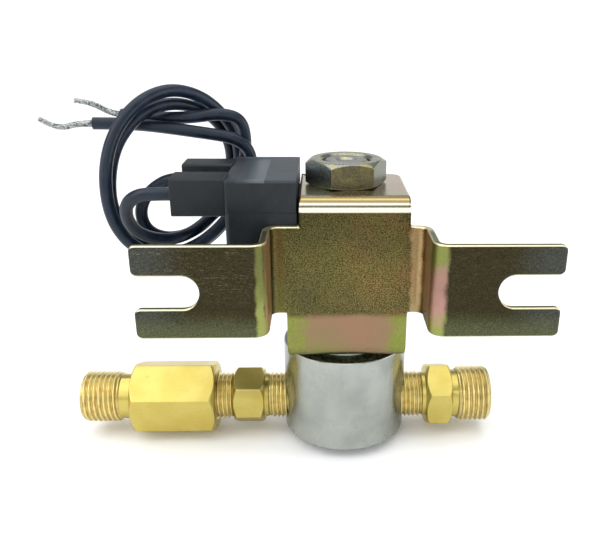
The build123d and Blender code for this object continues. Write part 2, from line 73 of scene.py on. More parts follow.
# ---- Leads: two PVC hook-up wires, 2.6 mm over the insulation, crimped and plugged on the coil's tabs.
# They loop beside the coil, held up by their own stiffness, and come back over the terminal box.
class Signal:
    """A node's output that takes part in ordinary sums; each sum adds its Math node."""

    def __init__(self, tree, socket):
        self.tree = tree
        self.socket = socket

    def maths(self, operation, *values):
        return self.tree.node("ShaderNodeMath", {"operation": operation}, dict(enumerate(values)))

    def __add__(self, other):
        return self.maths("ADD", self, other)

    def __sub__(self, other):
        return self.maths("SUBTRACT", self, other)

    def __rsub__(self, other):
        return self.maths("SUBTRACT", other, self)

    def __mul__(self, other):
        return self.maths("MULTIPLY", self, other)

    def __truediv__(self, other):
        return self.maths("DIVIDE", self, other)

    def __abs__(self):
        return self.maths("ABSOLUTE", self)

    def sine(self):
        return self.maths("SINE", self)

    def cosine(self):
        return self.maths("COSINE", self)

    __radd__ = __add__
    __rmul__ = __mul__

    def least(self, other):
        return self.maths("MINIMUM", self, other)

    def most(self, other):
        return self.maths("MAXIMUM", self, other)

    def rises(self, low, high):
        """0 below low, 1 above high and smooth between them."""
        return self.tree.node(
            "ShaderNodeMapRange", {"interpolation_type": "SMOOTHSTEP"},
            {"Value": self, "From Min": low, "From Max": high})

    def band(self, low, high, soft):
        """1 between low and high, fading over soft on both sides."""
        return self.rises(low - soft, low) * (1 - self.rises(high, high + soft))


class Tree:
    """Builds a node tree: one method adds any node, the others are short forms of it."""

    def __init__(self, tree):
        self.tree = tree
        tree.nodes.clear()

    def node(self, kind, settings=None, sockets=None, result=0):
        made = self.tree.nodes.new(kind)
        for name, value in (settings or {}).items():
            if name == "stops":
                stops = made.color_ramp.elements
                while len(stops) < len(value):
                    stops.new(1)
                for stop, (place, colour) in zip(stops, value):
                    stop.position = place
                    stop.color = colour
            else:
                setattr(made, name, value)
        for name, value in (sockets or {}).items():
            if isinstance(value, Signal):
                self.tree.links.new(value.socket, made.inputs[name])
            else:
                made.inputs[name].default_value = value
        return Signal(self, made.outputs[result]) if len(made.outputs) else made

    def blend(self, first, second, share):
        return self.node("ShaderNodeMix", {"data_type": "RGBA"}, {0: share, 6: first, 7: second}, 2)

    def scaled(self, vector, amount):
        return self.node("ShaderNodeVectorMath", {"operation": "SCALE"}, {0: vector, "Scale": amount})

    def tinted(self, colour, amount):
        """A colour made lighter or darker by a number."""
        return self.scaled(colour if isinstance(colour, Signal) else colour[:3], amount)

    def parts(self, vector):
        """The X, Y and Z of a vector, as three numbers."""
        split = self.node("ShaderNodeSeparateXYZ", {}, {0: vector}).socket.node
        return [Signal(self, output) for output in split.outputs]

    def millimetres(self, stretch=(1, 1, 1)):
        """The place on the piece in millimetres, stretched along each axis."""
        place = self.node("ShaderNodeTexCoord", result="Object")
        scale = [1000 * s for s in stretch]
        return self.node("ShaderNodeMapping", {}, {"Vector": place, "Scale": scale})

    def axes(self):
        return self.parts(self.millimetres())

    def facing_up(self):
        """1 where a surface looks straight up, 0 on an upright one and -1 underneath."""
        return self.parts(self.node("ShaderNodeNewGeometry", result="Normal"))[2]

    def noise(self, place, scale, detail=2.0, roughness=0.5, bend=0.0):
        sockets = {"Vector": place, "Scale": scale, "Detail": detail, "Roughness": roughness}
        return self.node("ShaderNodeTexNoise", {}, {**sockets, "Distortion": bend})

    def bumped(self, height, depth, distance):
        """A normal from a height; the distance is in millimetres."""
        sockets = {"Height": height, "Strength": depth, "Distance": distance * mm}
        return self.node("ShaderNodeBump", {}, sockets)


def colour(red, green, blue):
    """Screen values of 0 to 255 as the linear colour a shader takes."""
    linear = [((v / 255 + 0.055) / 1.055) ** 2.4 if v > 10 else v / 3295 for v in (red, green, blue)]
    return (*linear, 1)


def finish(name, surface, **fixed):
    """A material: surface(tree) returns the sockets that change over it, fixed holds those that do not."""
    material = bpy.data.materials.new(name)
    material.use_nodes = True
    tree = Tree(material.node_tree)
    varying = surface(tree)
    shader = tree.node("ShaderNodeBsdfPrincipled", {}, {**varying, **fixed})
    tree.node("ShaderNodeOutputMaterial", {}, {"Surface": shader})
    return material


def pvc_surface(tree):
    place = tree.millimetres()
    dust = tree.noise(place, 0.35, 3)
    ripple = tree.noise(place, 0.9, 1)
    return {
        "Base Color": tree.blend(colour(8, 22, 38), colour(17, 34, 52), dust.rises(0.35, 0.75)),
        "Roughness": 0.33 + 0.14 * dust.rises(0.4, 0.8),
        "Normal": tree.bumped(ripple, 0.35, 0.12),
    }


lead_insulation = finish("lead_insulation", pvc_surface, **{"Specular IOR Level": 0.36})

lead_radius = 1.3
front_route = [
    (-33.3, -6.65, 53.75), (-37, -6.65, 53.75), (-40.5, -6, 53.3), (-43, -4.8, 51), (-43.5, -3, 47.8),
    (-42.8, -1, 44.8), (-40.5, 2, 42.2), (-37, 6, 40.6), (-33.6, 11.3, 40.6), (-30.3, 16, 42.6),
    (-26.8, 18.6, 45.5), (-24.5, 20.5, 50), (-23.5, 21, 55), (-24, 20.5, 60.5), (-26.5, 18.5, 65.5),
    (-30.5, 16, 69.5), (-35.5, 12.8, 71.3), (-40, 9, 70.3), (-43.8, 5.8, 67.2), (-46.5, 3, 62.8),
    (-47.8, 1, 57.5), (-48, 0, 51.8), (-47.2, 0, 46.2), (-44.8, 1.5, 41), (-41, 4.2, 37.8),
    (-36.5, 7.5, 37), (-31.5, 10.4, 38.5), (-26.5, 12.5, 42.5), (-22.8, 13.2, 48), (-20.2, 13.4, 53.5),
    (-20.2, 13.4, 58.5), (-23.5, 13, 61.2), (-29.5, 12.6, 62.2), (-36, 12.1, 63.2), (-42, 12.3, 63.9),
    (-47.8, 13, 64.1), (-53, 13, 64.1),
]
rear_route = [
    (-33.3, 6.65, 53.75), (-36.4, 6.65, 53.75), (-39.8, 6.6, 52), (-42.4, 6.4, 49.3), (-43.3, 6.4, 45.8),
    (-42.3, 7.2, 42.3), (-39.5, 9.3, 40), (-35.8, 13, 39.3), (-32, 17.2, 40.4), (-29, 20.6, 43.8),
    (-26.7, 22.6, 48.5), (-25.5, 23, 54), (-26, 22.3, 59.5), (-28.3, 20.4, 64), (-32, 17.6, 67),
    (-36.5, 14.5, 68.3), (-41, 11, 67.3), (-44.5, 7.8, 64.3), (-47, 5.4, 60), (-48.2, 4, 54.5),
    (-48.3, 3.5, 49), (-47, 4.2, 43.5), (-44.3, 6.2, 39.2), (-40.2, 8.8, 36.7), (-35.3, 11.4, 36.4),
    (-30.5, 13.6, 38.2), (-26.3, 15.5, 42.2), (-23.7, 16.3, 48), (-22.3, 16.4, 54), (-21.3, 16.4, 60),
    (-22.2, 16, 64.8), (-26.5, 15.2, 66), (-32, 14.3, 65.3), (-37.5, 14.8, 65), (-43, 16, 65.2),
    (-48, 17, 65.4),
]


def smooth_line(name, route, radius):
    """One open smooth curve with the route's points as its control points."""
    curve = bpy.data.curves.new(name, "CURVE")
    curve.dimensions = "3D"
    curve.resolution_u = 10
    strand = curve.splines.new("NURBS")
    strand.points.add(len(route) - 1)
    for point, place in zip(strand.points, route):
        point.co = (*(Vector(place) * mm), 1)
    strand.order_u = 3
    strand.use_endpoint_u = True
    strand.use_smooth = True
    curve.bevel_depth = radius * mm
    curve.bevel_resolution = 5
    curve.use_fill_caps = radius > 0
    piece = bpy.data.objects.new(name, curve)
    bpy.context.scene.collection.objects.link(piece)
    return piece


def placed(piece, slot, *nodes):
    """A rigid piece joined to the valve's body, with the parts it replaces hidden."""
    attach(piece, "valve")
    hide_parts(*nodes)
    return piece


leads = []
for end_name, route in (("front", front_route), ("rear", rear_route)):
    lead = smooth_line(f"lead_{end_name}", route, lead_radius)
    lead.data.materials.append(lead_insulation)
    leads.append(placed(lead, "lead_insulation", f"lead_wire_{end_name}"))


# ---- Bare ends: sixteen fine tinned strands, twisted by hand, from where the insulation was stripped.
# The bundle is loose at the insulation and tighter towards its tip.
def patchy(light, dark, fineness, gloss, edges=None, stretch=(1, 1, 1), detail=3, grit=0.5, relief=None):
    """A surface of two tones in patches, sharp-edged if edges are given; gloss and relief follow them."""
    def surface(tree):
        patch = tree.noise(tree.millimetres(stretch), fineness, detail, grit)
        sockets = {
            "Base Color": tree.blend(colour(*light), colour(*dark), patch.rises(*edges) if edges else patch),
            "Roughness": gloss[0] + gloss[1] * patch,
        }
        if relief:
            sockets["Normal"] = tree.bumped(patch, *relief)
        return sockets
    return surface


tarnished_tin = patchy((176, 178, 178), (84, 86, 87), 2.5, (0.22, 0.25), (0.45, 0.62))
tinned_wire = finish("tinned_wire", tarnished_tin, Metallic=1.0)


class Pattern(Tree):
    """A Geometry Nodes tree with named number inputs, a material input and one mesh out."""

    def __init__(self, name, inputs):
        group = bpy.data.node_groups.new(name, "GeometryNodeTree")
        super().__init__(group)
        group.interface.new_socket("Shape", in_out="INPUT", socket_type="NodeSocketGeometry")
        for label in inputs:
            group.interface.new_socket(label, in_out="INPUT", socket_type="NodeSocketFloat")
        group.interface.new_socket("Finish", in_out="INPUT", socket_type="NodeSocketMaterial")
        group.interface.new_socket("Shape", in_out="OUTPUT", socket_type="NodeSocketGeometry")
        self.given = group.nodes.new("NodeGroupInput").outputs

    def value(self, label):
        return Signal(self, self.given[label])

    def swept(self, curve, radius, sides):
        """A round wire along a curve."""
        ring = self.node("GeometryNodeCurvePrimitiveCircle", {}, {"Resolution": sides, "Radius": radius})
        return self.node(
            "GeometryNodeCurveToMesh", {}, {"Curve": curve, "Profile Curve": ring, "Fill Caps": True})

    def close(self, shape):
        """Ends the tree: instances made real, then the material."""
        real = self.node("GeometryNodeRealizeInstances", {}, {0: shape})
        coated = self.node(
            "GeometryNodeSetMaterial", {}, {"Geometry": real, "Material": self.value("Finish")})
        self.node("NodeGroupOutput", {}, {0: coated})

    def grow(self, name, base, material, **sizes):
        """A plain mesh object from the tree, grown on a base mesh."""
        piece = bpy.data.objects.new(name, base or bpy.data.meshes.new(name))
        bpy.context.scene.collection.objects.link(piece)
        modifier = piece.modifiers.new("pattern", "NODES")
        modifier.node_group = self.tree
        inputs = {"finish": material, **{label: float(size) for label, size in sizes.items()}}
        for item in self.tree.interface.items_tree:
            label = item.name.replace(" ", "_").lower()
            if item.in_out == "INPUT" and label in inputs:
                modifier[item.identifier] = inputs[label]
        return settled(piece)


def settled(piece):
    """The piece with its modifiers worked into a plain mesh."""
    seen = piece.evaluated_get(bpy.context.evaluated_depsgraph_get())
    mesh = bpy.data.meshes.new_from_object(seen)
    piece.modifiers.clear()
    piece.data = mesh
    mesh.name = piece.name
    return piece


strands = Pattern("twisted_strands", ["Strands", "Bundle", "Wire", "Twist", "Tightening"])
centre_line = strands.node("GeometryNodeMeshToCurve", {}, {0: strands.value("Shape")})
centre_line = strands.node("GeometryNodeResampleCurve", {}, {"Curve": centre_line, "Count": 70})
copies = strands.node(
    "GeometryNodeDuplicateElements", {"domain": "SPLINE"},
    {"Geometry": centre_line, "Amount": strands.value("Strands")})
copy_number = Signal(strands, copies.socket.node.outputs["Duplicate Index"])
along = strands.node("GeometryNodeSplineParameter")
across = strands.node("GeometryNodeInputNormal")
tangent = strands.node("GeometryNodeInputTangent")
beside = strands.node("ShaderNodeVectorMath", {"operation": "CROSS_PRODUCT"}, {0: tangent, 1: across})
stray = strands.node(
    "ShaderNodeTexNoise", {"noise_dimensions": "4D"}, {"W": copy_number * 7.3, "Scale": 700.0, "Detail": 1.0})
outer = copy_number.rises(4, 5)
turn = copy_number * 0.571 + along * strands.value("Twist") + stray * 0.9
spread = strands.value("Bundle") * (0.42 + 0.58 * outer) * (1 - along * strands.value("Tightening"))
spread = spread * (0.75 + 0.5 * stray)
sideways = strands.scaled(across, spread * turn.cosine())
upwards = strands.scaled(beside, spread * turn.sine())
offset = strands.node("ShaderNodeVectorMath", {"operation": "ADD"}, {0: sideways, 1: upwards})
twisted = strands.node("GeometryNodeSetPosition", {}, {"Geometry": copies, "Offset": offset})
strands.close(strands.swept(twisted, strands.value("Wire"), 6))

front_strip = [
    (-52.2, 13, 64.1), (-56.2, 13, 64.1), (-59.4, 13.1, 63.1), (-62.2, 13, 63.8), (-64.2, 13, 65)]
rear_strip = [
    (-47.2, 16.84, 65.37), (-50, 17.4, 65.48), (-53.2, 17.4, 67.3), (-55.8, 17.2, 68.1), (-57.8, 17.3, 68.3)]
for end_name, lead, lead_route, strip, twist, length in (
        ("front", leads[0], front_route, front_strip, 19, 0.195),
        ("rear", leads[1], rear_route, rear_strip, 16, 0.182)):
    guide = smooth_line(f"strip_{end_name}", strip, 0)
    seen = guide.evaluated_get(bpy.context.evaluated_depsgraph_get())
    path = bpy.data.meshes.new_from_object(seen)
    bpy.data.objects.remove(guide)
    bare_end = strands.grow(
        f"bare_strands_{end_name}", path, tinned_wire,
        strands=16, bundle=0.56 * mm, wire=0.15 * mm, twist=twist, tightening=0.35)
    bare_end.data.shade_smooth()
    placed(bare_end, "tinned_wire", f"bare_end_{end_name}")
    [c * mm for c in lead_route[0]]


# ---- Valve body: turned from free-cutting stainless bar, face-turned base, satin on the outside.
# Two side ports are tapped and countersunk; a low boss on top carries the yoke.
port_z = 6.05
port_floor = 7.8
body_radius = 13.2
body_height = 20.5
boss_radius = 9.6
boss_top = 21.7
smooth_round = [(2 * math.pi * n / 128, None) for n in range(128)]


def softened(corners):
    """Each corner of a closed line of (along, radius, rounding) turned into three points."""
    points = []
    for n, (along, radius, rounding) in enumerate(corners):
        here = Vector((along, radius))
        for other in (corners[n - 1], corners[(n + 1) % len(corners)]):
            step = Vector(other[:2]) - here
            reach = min(rounding, 0.45 * step.length)
            points.append(here + (step.normalized() * reach if step.length > 1e-9 else step))
        ends = points[-2:]
        points.insert(-1, ends[0] * 0.25 + here * 0.5 + ends[1] * 0.25)
    return points


def turned(name, section, profile, axis, centre=(0, 0, 0), material=None):
    """A piece turned from bar. Its profile lists the corners, or gives them for each radius of the bar."""
    form = bmesh.new()
    rows = []
    for angle, flat in section:
        row = []
        for along, radius in softened(profile(flat) if callable(profile) else profile):
            radius = max(radius, 0)
            round_part = (radius * math.cos(angle), radius * math.sin(angle))
            corner = (*round_part, along) if axis == "z" else (along, *round_part)
            row.append(form.verts.new((Vector(corner) + Vector(centre)) * mm))
        rows.append(row)
    count = len(rows[0])
    for n, row in enumerate(rows):
        after = rows[(n + 1) % len(rows)]
        for k in range(count):
            form.faces.new((row[k], row[(k + 1) % count], after[(k + 1) % count], after[k]))
    bmesh.ops.remove_doubles(form, verts=form.verts, dist=1e-7)
    bmesh.ops.dissolve_degenerate(form, edges=form.edges, dist=1e-7)
    bmesh.ops.recalc_face_normals(form, faces=form.faces)
    return meshed(name, form, material)


def meshed(name, form, material):
    mesh = bpy.data.meshes.new(name)
    form.to_mesh(mesh)
    form.free()
    mesh.shade_smooth()
    if material:
        mesh.materials.append(material)
    piece = bpy.data.objects.new(name, mesh)
    bpy.context.scene.collection.objects.link(piece)
    return piece


def carved(piece, tool, operation="DIFFERENCE"):
    """The piece after a cutter, which is used up."""
    cut = piece.modifiers.new("cut", "BOOLEAN")
    cut.operation = operation
    cut.object = tool
    cut.solver = "EXACT"
    settled(piece)
    bpy.data.objects.remove(tool)
    return piece


def eased(piece, width=0.0, steps=3, angle=40):
    """Edges rounded by width, if any, and shading weighted to the large faces."""
    if width:
        form = bmesh.new()
        form.from_mesh(piece.data)
        bmesh.ops.remove_doubles(form, verts=form.verts, dist=0.004 * mm)
        bmesh.ops.dissolve_limit(form, angle_limit=math.radians(0.6), verts=form.verts, edges=form.edges)
        form.to_mesh(piece.data)
        form.free()
        bevel = piece.modifiers.new("edges", "BEVEL")
        bevel.use_clamp_overlap = False
        bevel.width = width * mm
        bevel.segments = steps
        bevel.limit_method = "ANGLE"
        bevel.angle_limit = math.radians(angle)
    piece.data.shade_smooth()
    even = piece.modifiers.new("even", "WEIGHTED_NORMAL")
    even.weight = 100
    return settled(piece)


def body_steel_surface(tree):
    # fine turning marks run round the plunger axis, so they change with height; the right side is darkened as
    # painted shade
    x = tree.axes()[0]
    marks = tree.noise(tree.millimetres((0.06, 0.06, 9)), 1.0, 3, 0.6)
    cloud = tree.noise(tree.millimetres(), 0.12, 3)
    smear = tree.noise(tree.millimetres((1, 1, 0.25)), 0.5, 3)
    grey = tree.blend(colour(170, 174, 168), colour(152, 156, 150), cloud.rises(0.35, 0.7))
    return {
        "Base Color": tree.tinted(grey, 0.92 + 0.12 * marks - 0.12 * x.rises(0, 12)),
        "Roughness": 0.2 + 0.1 * marks + 0.1 * smear.rises(0.45, 0.75),
        "Normal": tree.bumped(marks, 0.12, 0.03),
    }


body_steel = finish("body_steel", body_steel_surface, Metallic=1.0)
body_profile = [
    (0, 0, 0), (0, body_radius, 0.4), (body_height, body_radius, 0.35), (body_height, boss_radius, 0.1),
    (boss_top, boss_radius, 0.2), (boss_top, 7.6, 0.15), (10.6, 7.6, 0.2), (10.6, 2.2, 0.3),
    (12.4, 2.2, 0.25), (12.4, 1.0, 0.1), (port_z, 1.0, 0), (port_z, 0, 0),
]
valve_body = turned("valve_body_turned", smooth_round, body_profile, "z", material=body_steel)
for port_name, side, drilled_to in (("inlet_port", -1, -3.6), ("outlet_port", 1, 0.4)):
    countersink = [(side * 15, 0, 0), (side * 15, 7.3, 0), (side * 12.8, 5.1, 0), (side * 12.4, 4.75, 0)]
    bore = [(side * port_floor, 4.75, 0), (side * port_floor, 2, 0), (drilled_to, 2, 0), (drilled_to, 0, 0)]
    port = turned(port_name, smooth_round, countersink + bore, "x", (0, 0, port_z))
    valve_body = carved(valve_body, port)
passage = [(port_z, 0, 0), (port_z, 1.4, 0), (11, 1.4, 0), (11, 0, 0)]
valve_body = carved(valve_body, turned("inlet_passage", smooth_round[::4], passage, "z", (-5, 0, 0)))
placed(eased(valve_body), "body_steel", "valve_body")


# ---- Screw threads: rolled or cut helixes on the brass fittings and on the core's stud.
# One tree makes them all: rows of a grid follow the helix and are cut off by a cone at both ends.
steps_round = 72
rows_per_turn = 10
thread = Pattern("screw_thread", ["Start", "End", "Radius", "Pitch", "Depth", "Runout"])
thread_start, thread_end, thread_pitch = (thread.value(label) for label in ("Start", "End", "Pitch"))
turns = (thread_end - thread_start) / thread_pitch
turns = turns.maths("CEIL", turns) + 2
grid = thread.node(
    "GeometryNodeMeshGrid", {},
    {"Size X": 1.0, "Size Y": 1.0, "Vertices X": steps_round + 1, "Vertices Y": turns * rows_per_turn + 1})
grid_x, grid_y, _ = thread.parts(thread.node("GeometryNodeInputPosition"))
around = grid_x + 0.5
row = (grid_y + 0.5) * turns - 1
height = (thread_start + (row + around) * thread_pitch).most(thread_start).least(thread_end)
# counted from above 0, and a little off the rows, so that rounding can't move a ridge
phase = row + 10.0005
slant = 1 - abs(phase.maths("FRACT", phase) * 2 - 1)
ridge = (slant * 1.45 - 0.225).most(0).least(1)
reach = thread.value("Radius") - thread.value("Depth") * (1 - ridge)
cone = thread.value("Radius") - thread.value("Runout")
reach = reach.least(cone + height - thread_start).least(cone + thread_end - height)
angle = around * (2 * math.pi)
helix = thread.node(
    "ShaderNodeCombineXYZ", {}, {0: height, 1: reach * angle.cosine(), 2: reach * angle.sine()})
helix = thread.node("GeometryNodeSetPosition", {}, {"Geometry": grid, "Position": helix})
helix = thread.node("GeometryNodeMergeByDistance", {}, {"Geometry": helix, "Distance": 1e-6})
thread.close(helix)


def screw_thread(name, material, start, end, radius, pitch, depth, axis="x", centre=(0, 0, 0)):
    """A right-hand outside thread along X or Z."""
    piece = thread.grow(
        name, None, material, start=start * mm, end=end * mm, radius=radius * mm, pitch=pitch * mm,
        depth=depth * mm, runout=(depth + 0.13) * mm)
    form = bmesh.new()
    form.from_mesh(piece.data)
    bmesh.ops.dissolve_degenerate(form, edges=form.edges, dist=1e-7)
    bmesh.ops.recalc_face_normals(form, faces=form.faces)
    away = Vector((0, 1, 1))
    if sum(face.normal.dot(face.calc_center_median() * away) for face in form.faces) < 0:
        bmesh.ops.reverse_faces(form, faces=form.faces)
    upright_turn = Matrix.Rotation(-math.pi / 2, 4, "Y") if axis == "z" else Matrix.Identity(4)
    form.transform(Matrix.Translation(Vector(centre) * mm) @ upright_turn)
    form.to_mesh(piece.data)
    form.free()
    piece.data.shade_smooth()
    return piece


# ---- Strainer body: turned from 9/16 inch hexagon brass bar, corners chamfered at both ends.
# The left end is threaded for a compression nut and bored for the tube; the drawn flats keep their lines.
inch = 25.4
strainer_flats = 9 / 16 * inch
strainer_start = -46.35
strainer_end = -28.2
inlet_end = -57.35
nipple_tip = -34.2
pipe_root = 4.46
pipe_end = 4.38
pipe_crest = 5.05
fine_pitch = 1.058
pipe_pitch = 0.941


def hexagon(flats, corner, turned_by):
    """Angle and radius of points round a hexagon bar with slightly rounded corners."""
    between = 8
    centre = (flats / 2 - corner) / math.cos(math.pi / 6)
    points = []
    for n in range(6):
        direction = math.radians(turned_by + 60 * n)
        for lean in (-30, -15, 0, 15, 30):
            edge = direction + math.radians(lean)
            points.append(Vector((
                centre * math.cos(direction) + corner * math.cos(edge),
                centre * math.sin(direction) + corner * math.sin(edge))))
    ring = []
    for n, point in enumerate(points):
        ring.append(point)
        if n % 5 == 4:
            after = points[(n + 1) % len(points)]
            ring += [point.lerp(after, k / between) for k in range(1, between)]
    return [(math.atan2(p.y, p.x), p.length) for p in ring]


def chamfer(flats, flat):
    """The radius of a hexagon's turned face, and how far back from it the chamfer reaches."""
    face = flats / 2 * 0.985
    return face, max(flat - face, 0) * 0.8


def brass_surface(tree):
    # drawn flats carry long fine lines; handling leaves warmer and duller spots
    x, _, z = tree.axes()
    lines = tree.noise(tree.millimetres((0.12, 5, 5)), 1.6, 3, 0.6)
    cloud = tree.noise(tree.millimetres(), 0.16, 3)
    spots = tree.noise(tree.millimetres(), 1.3, 4, 0.65)
    pale = tree.blend(colour(202, 186, 104), colour(195, 176, 92), cloud.rises(0.35, 0.65))
    gold = tree.blend(pale, colour(176, 132, 62), 0.55 * spots.rises(0.62, 0.78))
    # the nipple is darker all over and its upper flats darker still as painted shade; the outlet connector is
    # a little darker
    tone_and_painted_shade = 1 - x.band(-25, -17, 0.5) * (0.17 + 0.1 * z.rises(7.5, 9.5)) - 0.08 * x.rises(16, 17)
    # a painted highlight along the nipple's front corner
    painted_corner_highlight = tree.facing_up().band(0.45, 0.75, 0.08) * x.band(-23.9, -18, 0.2)
    gold = tree.blend(gold, colour(255, 244, 190), 0.9 * painted_corner_highlight)
    return {
        "Base Color": tree.tinted(gold, (0.9 + 0.2 * lines) * tone_and_painted_shade),
        "Roughness": 0.2 + 0.12 * lines + 0.1 * cloud,
        "Normal": tree.bumped(lines, 0.22, 0.05),
    }


def cut_brass_surface(tree):
    x, y, z = tree.axes()
    flanks = tree.noise(tree.millimetres((1, 0.4, 0.4)), 1.1, 3, 0.6)
    stain = tree.noise(tree.millimetres(), 0.7, 3)
    # the grooves between the ridges are darkened as painted shade, and the outlet thread darkens towards its
    # end
    across = tree.node("ShaderNodeCombineXYZ", {}, {1: y, 2: z - port_z})
    reach = tree.node("ShaderNodeVectorMath", {"operation": "LENGTH"}, {0: across}, "Value")
    crest = 5.05 + 0.5 * (1 - x.rises(-48, -47)) + 1.05 * x.rises(20, 21)
    groove_shade_and_end_darkening = (1 - 0.28 * (crest - reach).rises(0.1, 0.4)) * (1 - 0.18 * x.rises(26, 32))
    gold = tree.blend(colour(236, 218, 150), colour(214, 184, 116), stain.rises(0.45, 0.75))
    return {
        "Base Color": tree.tinted(gold, groove_shade_and_end_darkening),
        "Roughness": 0.26 + 0.1 * flanks,
        "Normal": tree.bumped(flanks, 0.08, 0.05),
    }


fitting_brass = finish("fitting_brass", brass_surface, Metallic=1.0)
thread_brass = finish("thread_brass", cut_brass_surface, Metallic=1.0)


def strainer_profile(flat):
    face, length = chamfer(strainer_flats, flat)
    return [
        (inlet_end, 3.2, 0.3), (inlet_end, 4.89, 0.06), (inlet_end + 0.1, 4.95, 0.05),
        (strainer_start, 4.9, 0.25), (strainer_start, face, 0.1), (strainer_start + length, flat, 0.14),
        (strainer_end - length, flat, 0.14), (strainer_end, face, 0.1), (strainer_end, 5.5, 0.1),
        (strainer_end - 0.8, 4.7, 0.05), (nipple_tip, 4.7, 0), (nipple_tip, 4.3, 0), (-42.35, 4.3, 0),
        (-42.35, 2.4, 0.1), (-50.35, 2.4, 0.1), (-50.35, 3.2, 0),
    ]


strainer = turned(
    "strainer_body_turned", hexagon(strainer_flats, 0.25, 100), strainer_profile, "x", (0, 0, port_z),
    fitting_brass)
placed(eased(strainer), "fitting_brass", "strainer_body")
inlet_thread = screw_thread(
    "inlet_thread", thread_brass, inlet_end, -49.0, 5.55, fine_pitch, 0.55, centre=(0, 0, port_z))
placed(inlet_thread, "fitting_brass", "strainer_body")


# ---- Nipple: 7/16 inch hexagon brass with a 1/8 inch pipe thread each way, a plain collar on the valve side.
# It joins the strainer to the body and holds the screen in.
nipple_flats = 7 / 16 * inch
nipple_start = -24.3
nipple_end = -17.65


def nipple_profile(flat):
    face, length = chamfer(nipple_flats, flat)
    return [
        (nipple_tip, 2.6, 0.15), (nipple_tip, pipe_end, 0.05), (nipple_tip + 0.1, pipe_root, 0.05),
        (nipple_start, pipe_root, 0.15),
        (nipple_start, face, 0.1), (nipple_start + length, flat, 0.12), (nipple_end - length, flat, 0.12),
        (nipple_end, face, 0.1), (nipple_end, 4.8, 0.12), (nipple_end + 0.9, 4.8, 0.12),
        (nipple_end + 1.0, pipe_root, 0.05), (-port_floor - 0.1, pipe_root, 0.05),
        (-port_floor, pipe_end, 0.05), (-port_floor, 2.6, 0.15),
    ]


nipple = turned(
    "inlet_nipple_turned", hexagon(nipple_flats, 0.2, 81), nipple_profile, "x", (0, 0, port_z), fitting_brass)
placed(eased(nipple), "fitting_brass", "inlet_nipple")
for name, first, last in (
        ("nipple_thread_strainer", nipple_tip, -24.35), ("nipple_thread_valve", -16.7, -port_floor)):
    piece = screw_thread(
        name, thread_brass, first, last, pipe_crest, pipe_pitch, 0.5, centre=(0, 0, port_z))
    placed(piece, "fitting_brass", "inlet_nipple")


# ---- Outlet connector: 1/2 inch hexagon brass, 1/8 inch pipe thread inside, compression thread outside.
# The tube goes into the round nose, which is left without a chamfer on the bore.
outlet_flats = 1 / 2 * inch
outlet_hex_start = 18.0
outlet_hex_end = 23.6
outlet_thread_start = 25.1
outlet_end = 32.15


def outlet_profile(flat):
    face, length = chamfer(outlet_flats, flat)
    return [
        (port_floor, 3.0, 0.1), (port_floor, pipe_end, 0.05), (port_floor + 0.1, pipe_root, 0.05),
        (17.1, pipe_root, 0.05), (17.15, 4.8, 0.1),
        (outlet_hex_start, 4.8, 0.12), (outlet_hex_start, face, 0.1), (outlet_hex_start + length, flat, 0.12),
        (outlet_hex_end - length, flat, 0.12), (outlet_hex_end, face, 0.1), (outlet_hex_end, 5.3, 0.12),
        (outlet_thread_start, 5.3, 0.1), (outlet_end - 0.1, 5.5, 0.05), (outlet_end, 5.44, 0.06),
        (outlet_end, 3.2, 0.3),
        (25.15, 3.2, 0), (25.15, 2.0, 0.1), (10.8, 2.0, 0.1), (10.8, 3.0, 0),
    ]


outlet = turned(
    "outlet_connector_turned", hexagon(outlet_flats, 0.22, 96.5), outlet_profile, "x", (0, 0, port_z),
    fitting_brass)
placed(eased(outlet), "fitting_brass", "outlet_connector")
for name, first, last, crest, pitch_length in (
        ("outlet_pipe_thread", port_floor, 17.2, pipe_crest, pipe_pitch),
        ("outlet_thread", outlet_thread_start, outlet_end, 6.1, fine_pitch)):
    piece = screw_thread(name, thread_brass, first, last, crest, pitch_length, 0.5, centre=(0, 0, port_z))
    placed(piece, "fitting_brass", "outlet_connector")


# ---- Yoke bracket: 1.5 mm steel strip, blanked and folded, plated zinc with a yellow chromate film.
# The blank is a cross: the upright arm folds round the coil, the level one is stepped forward into two ears.
sheet = 1.52
plate_front = -13.3
plate_back = 8.6
yoke_bottom = 21.7
yoke_top = 54.5
half_plate = 11.75
ear_front = -24.5
ear_bottom = 31.6
ear_top = 49.1
ear_end = 37.9
web = 14.45
slot_radius = 3.05
slot_root = 26.35
slot_z = 40.4
bend_radius = 1.3
corner_radius = 2.6
ear_corner_radius = 1.15
tube_hole = 5.35
stud_hole = 4.95


def bent_line(points, radii, steps=9):
    """A line of (a, b) points with an arc at each inner corner, or a sharp one where the radius is 0."""
    path = [Vector(points[0])]
    for before, corner, after, radius in zip(points, points[1:], points[2:], radii):
        corner = Vector(corner)
        if not radius:
            path.append(corner)
            continue
        back = (Vector(before) - corner).normalized()
        ahead = (Vector(after) - corner).normalized()
        half = back.angle(ahead) / 2
        centre = corner + (back + ahead).normalized() * radius / math.sin(half)
        first = corner + back * radius / math.tan(half) - centre
        last = corner + ahead * radius / math.tan(half) - centre
        sweep = first.angle_signed(last)
        for n in range(steps + 1):
            path.append(centre + Matrix.Rotation(-sweep * n / steps, 2) @ first)
    path.append(Vector(points[-1]))
    return path


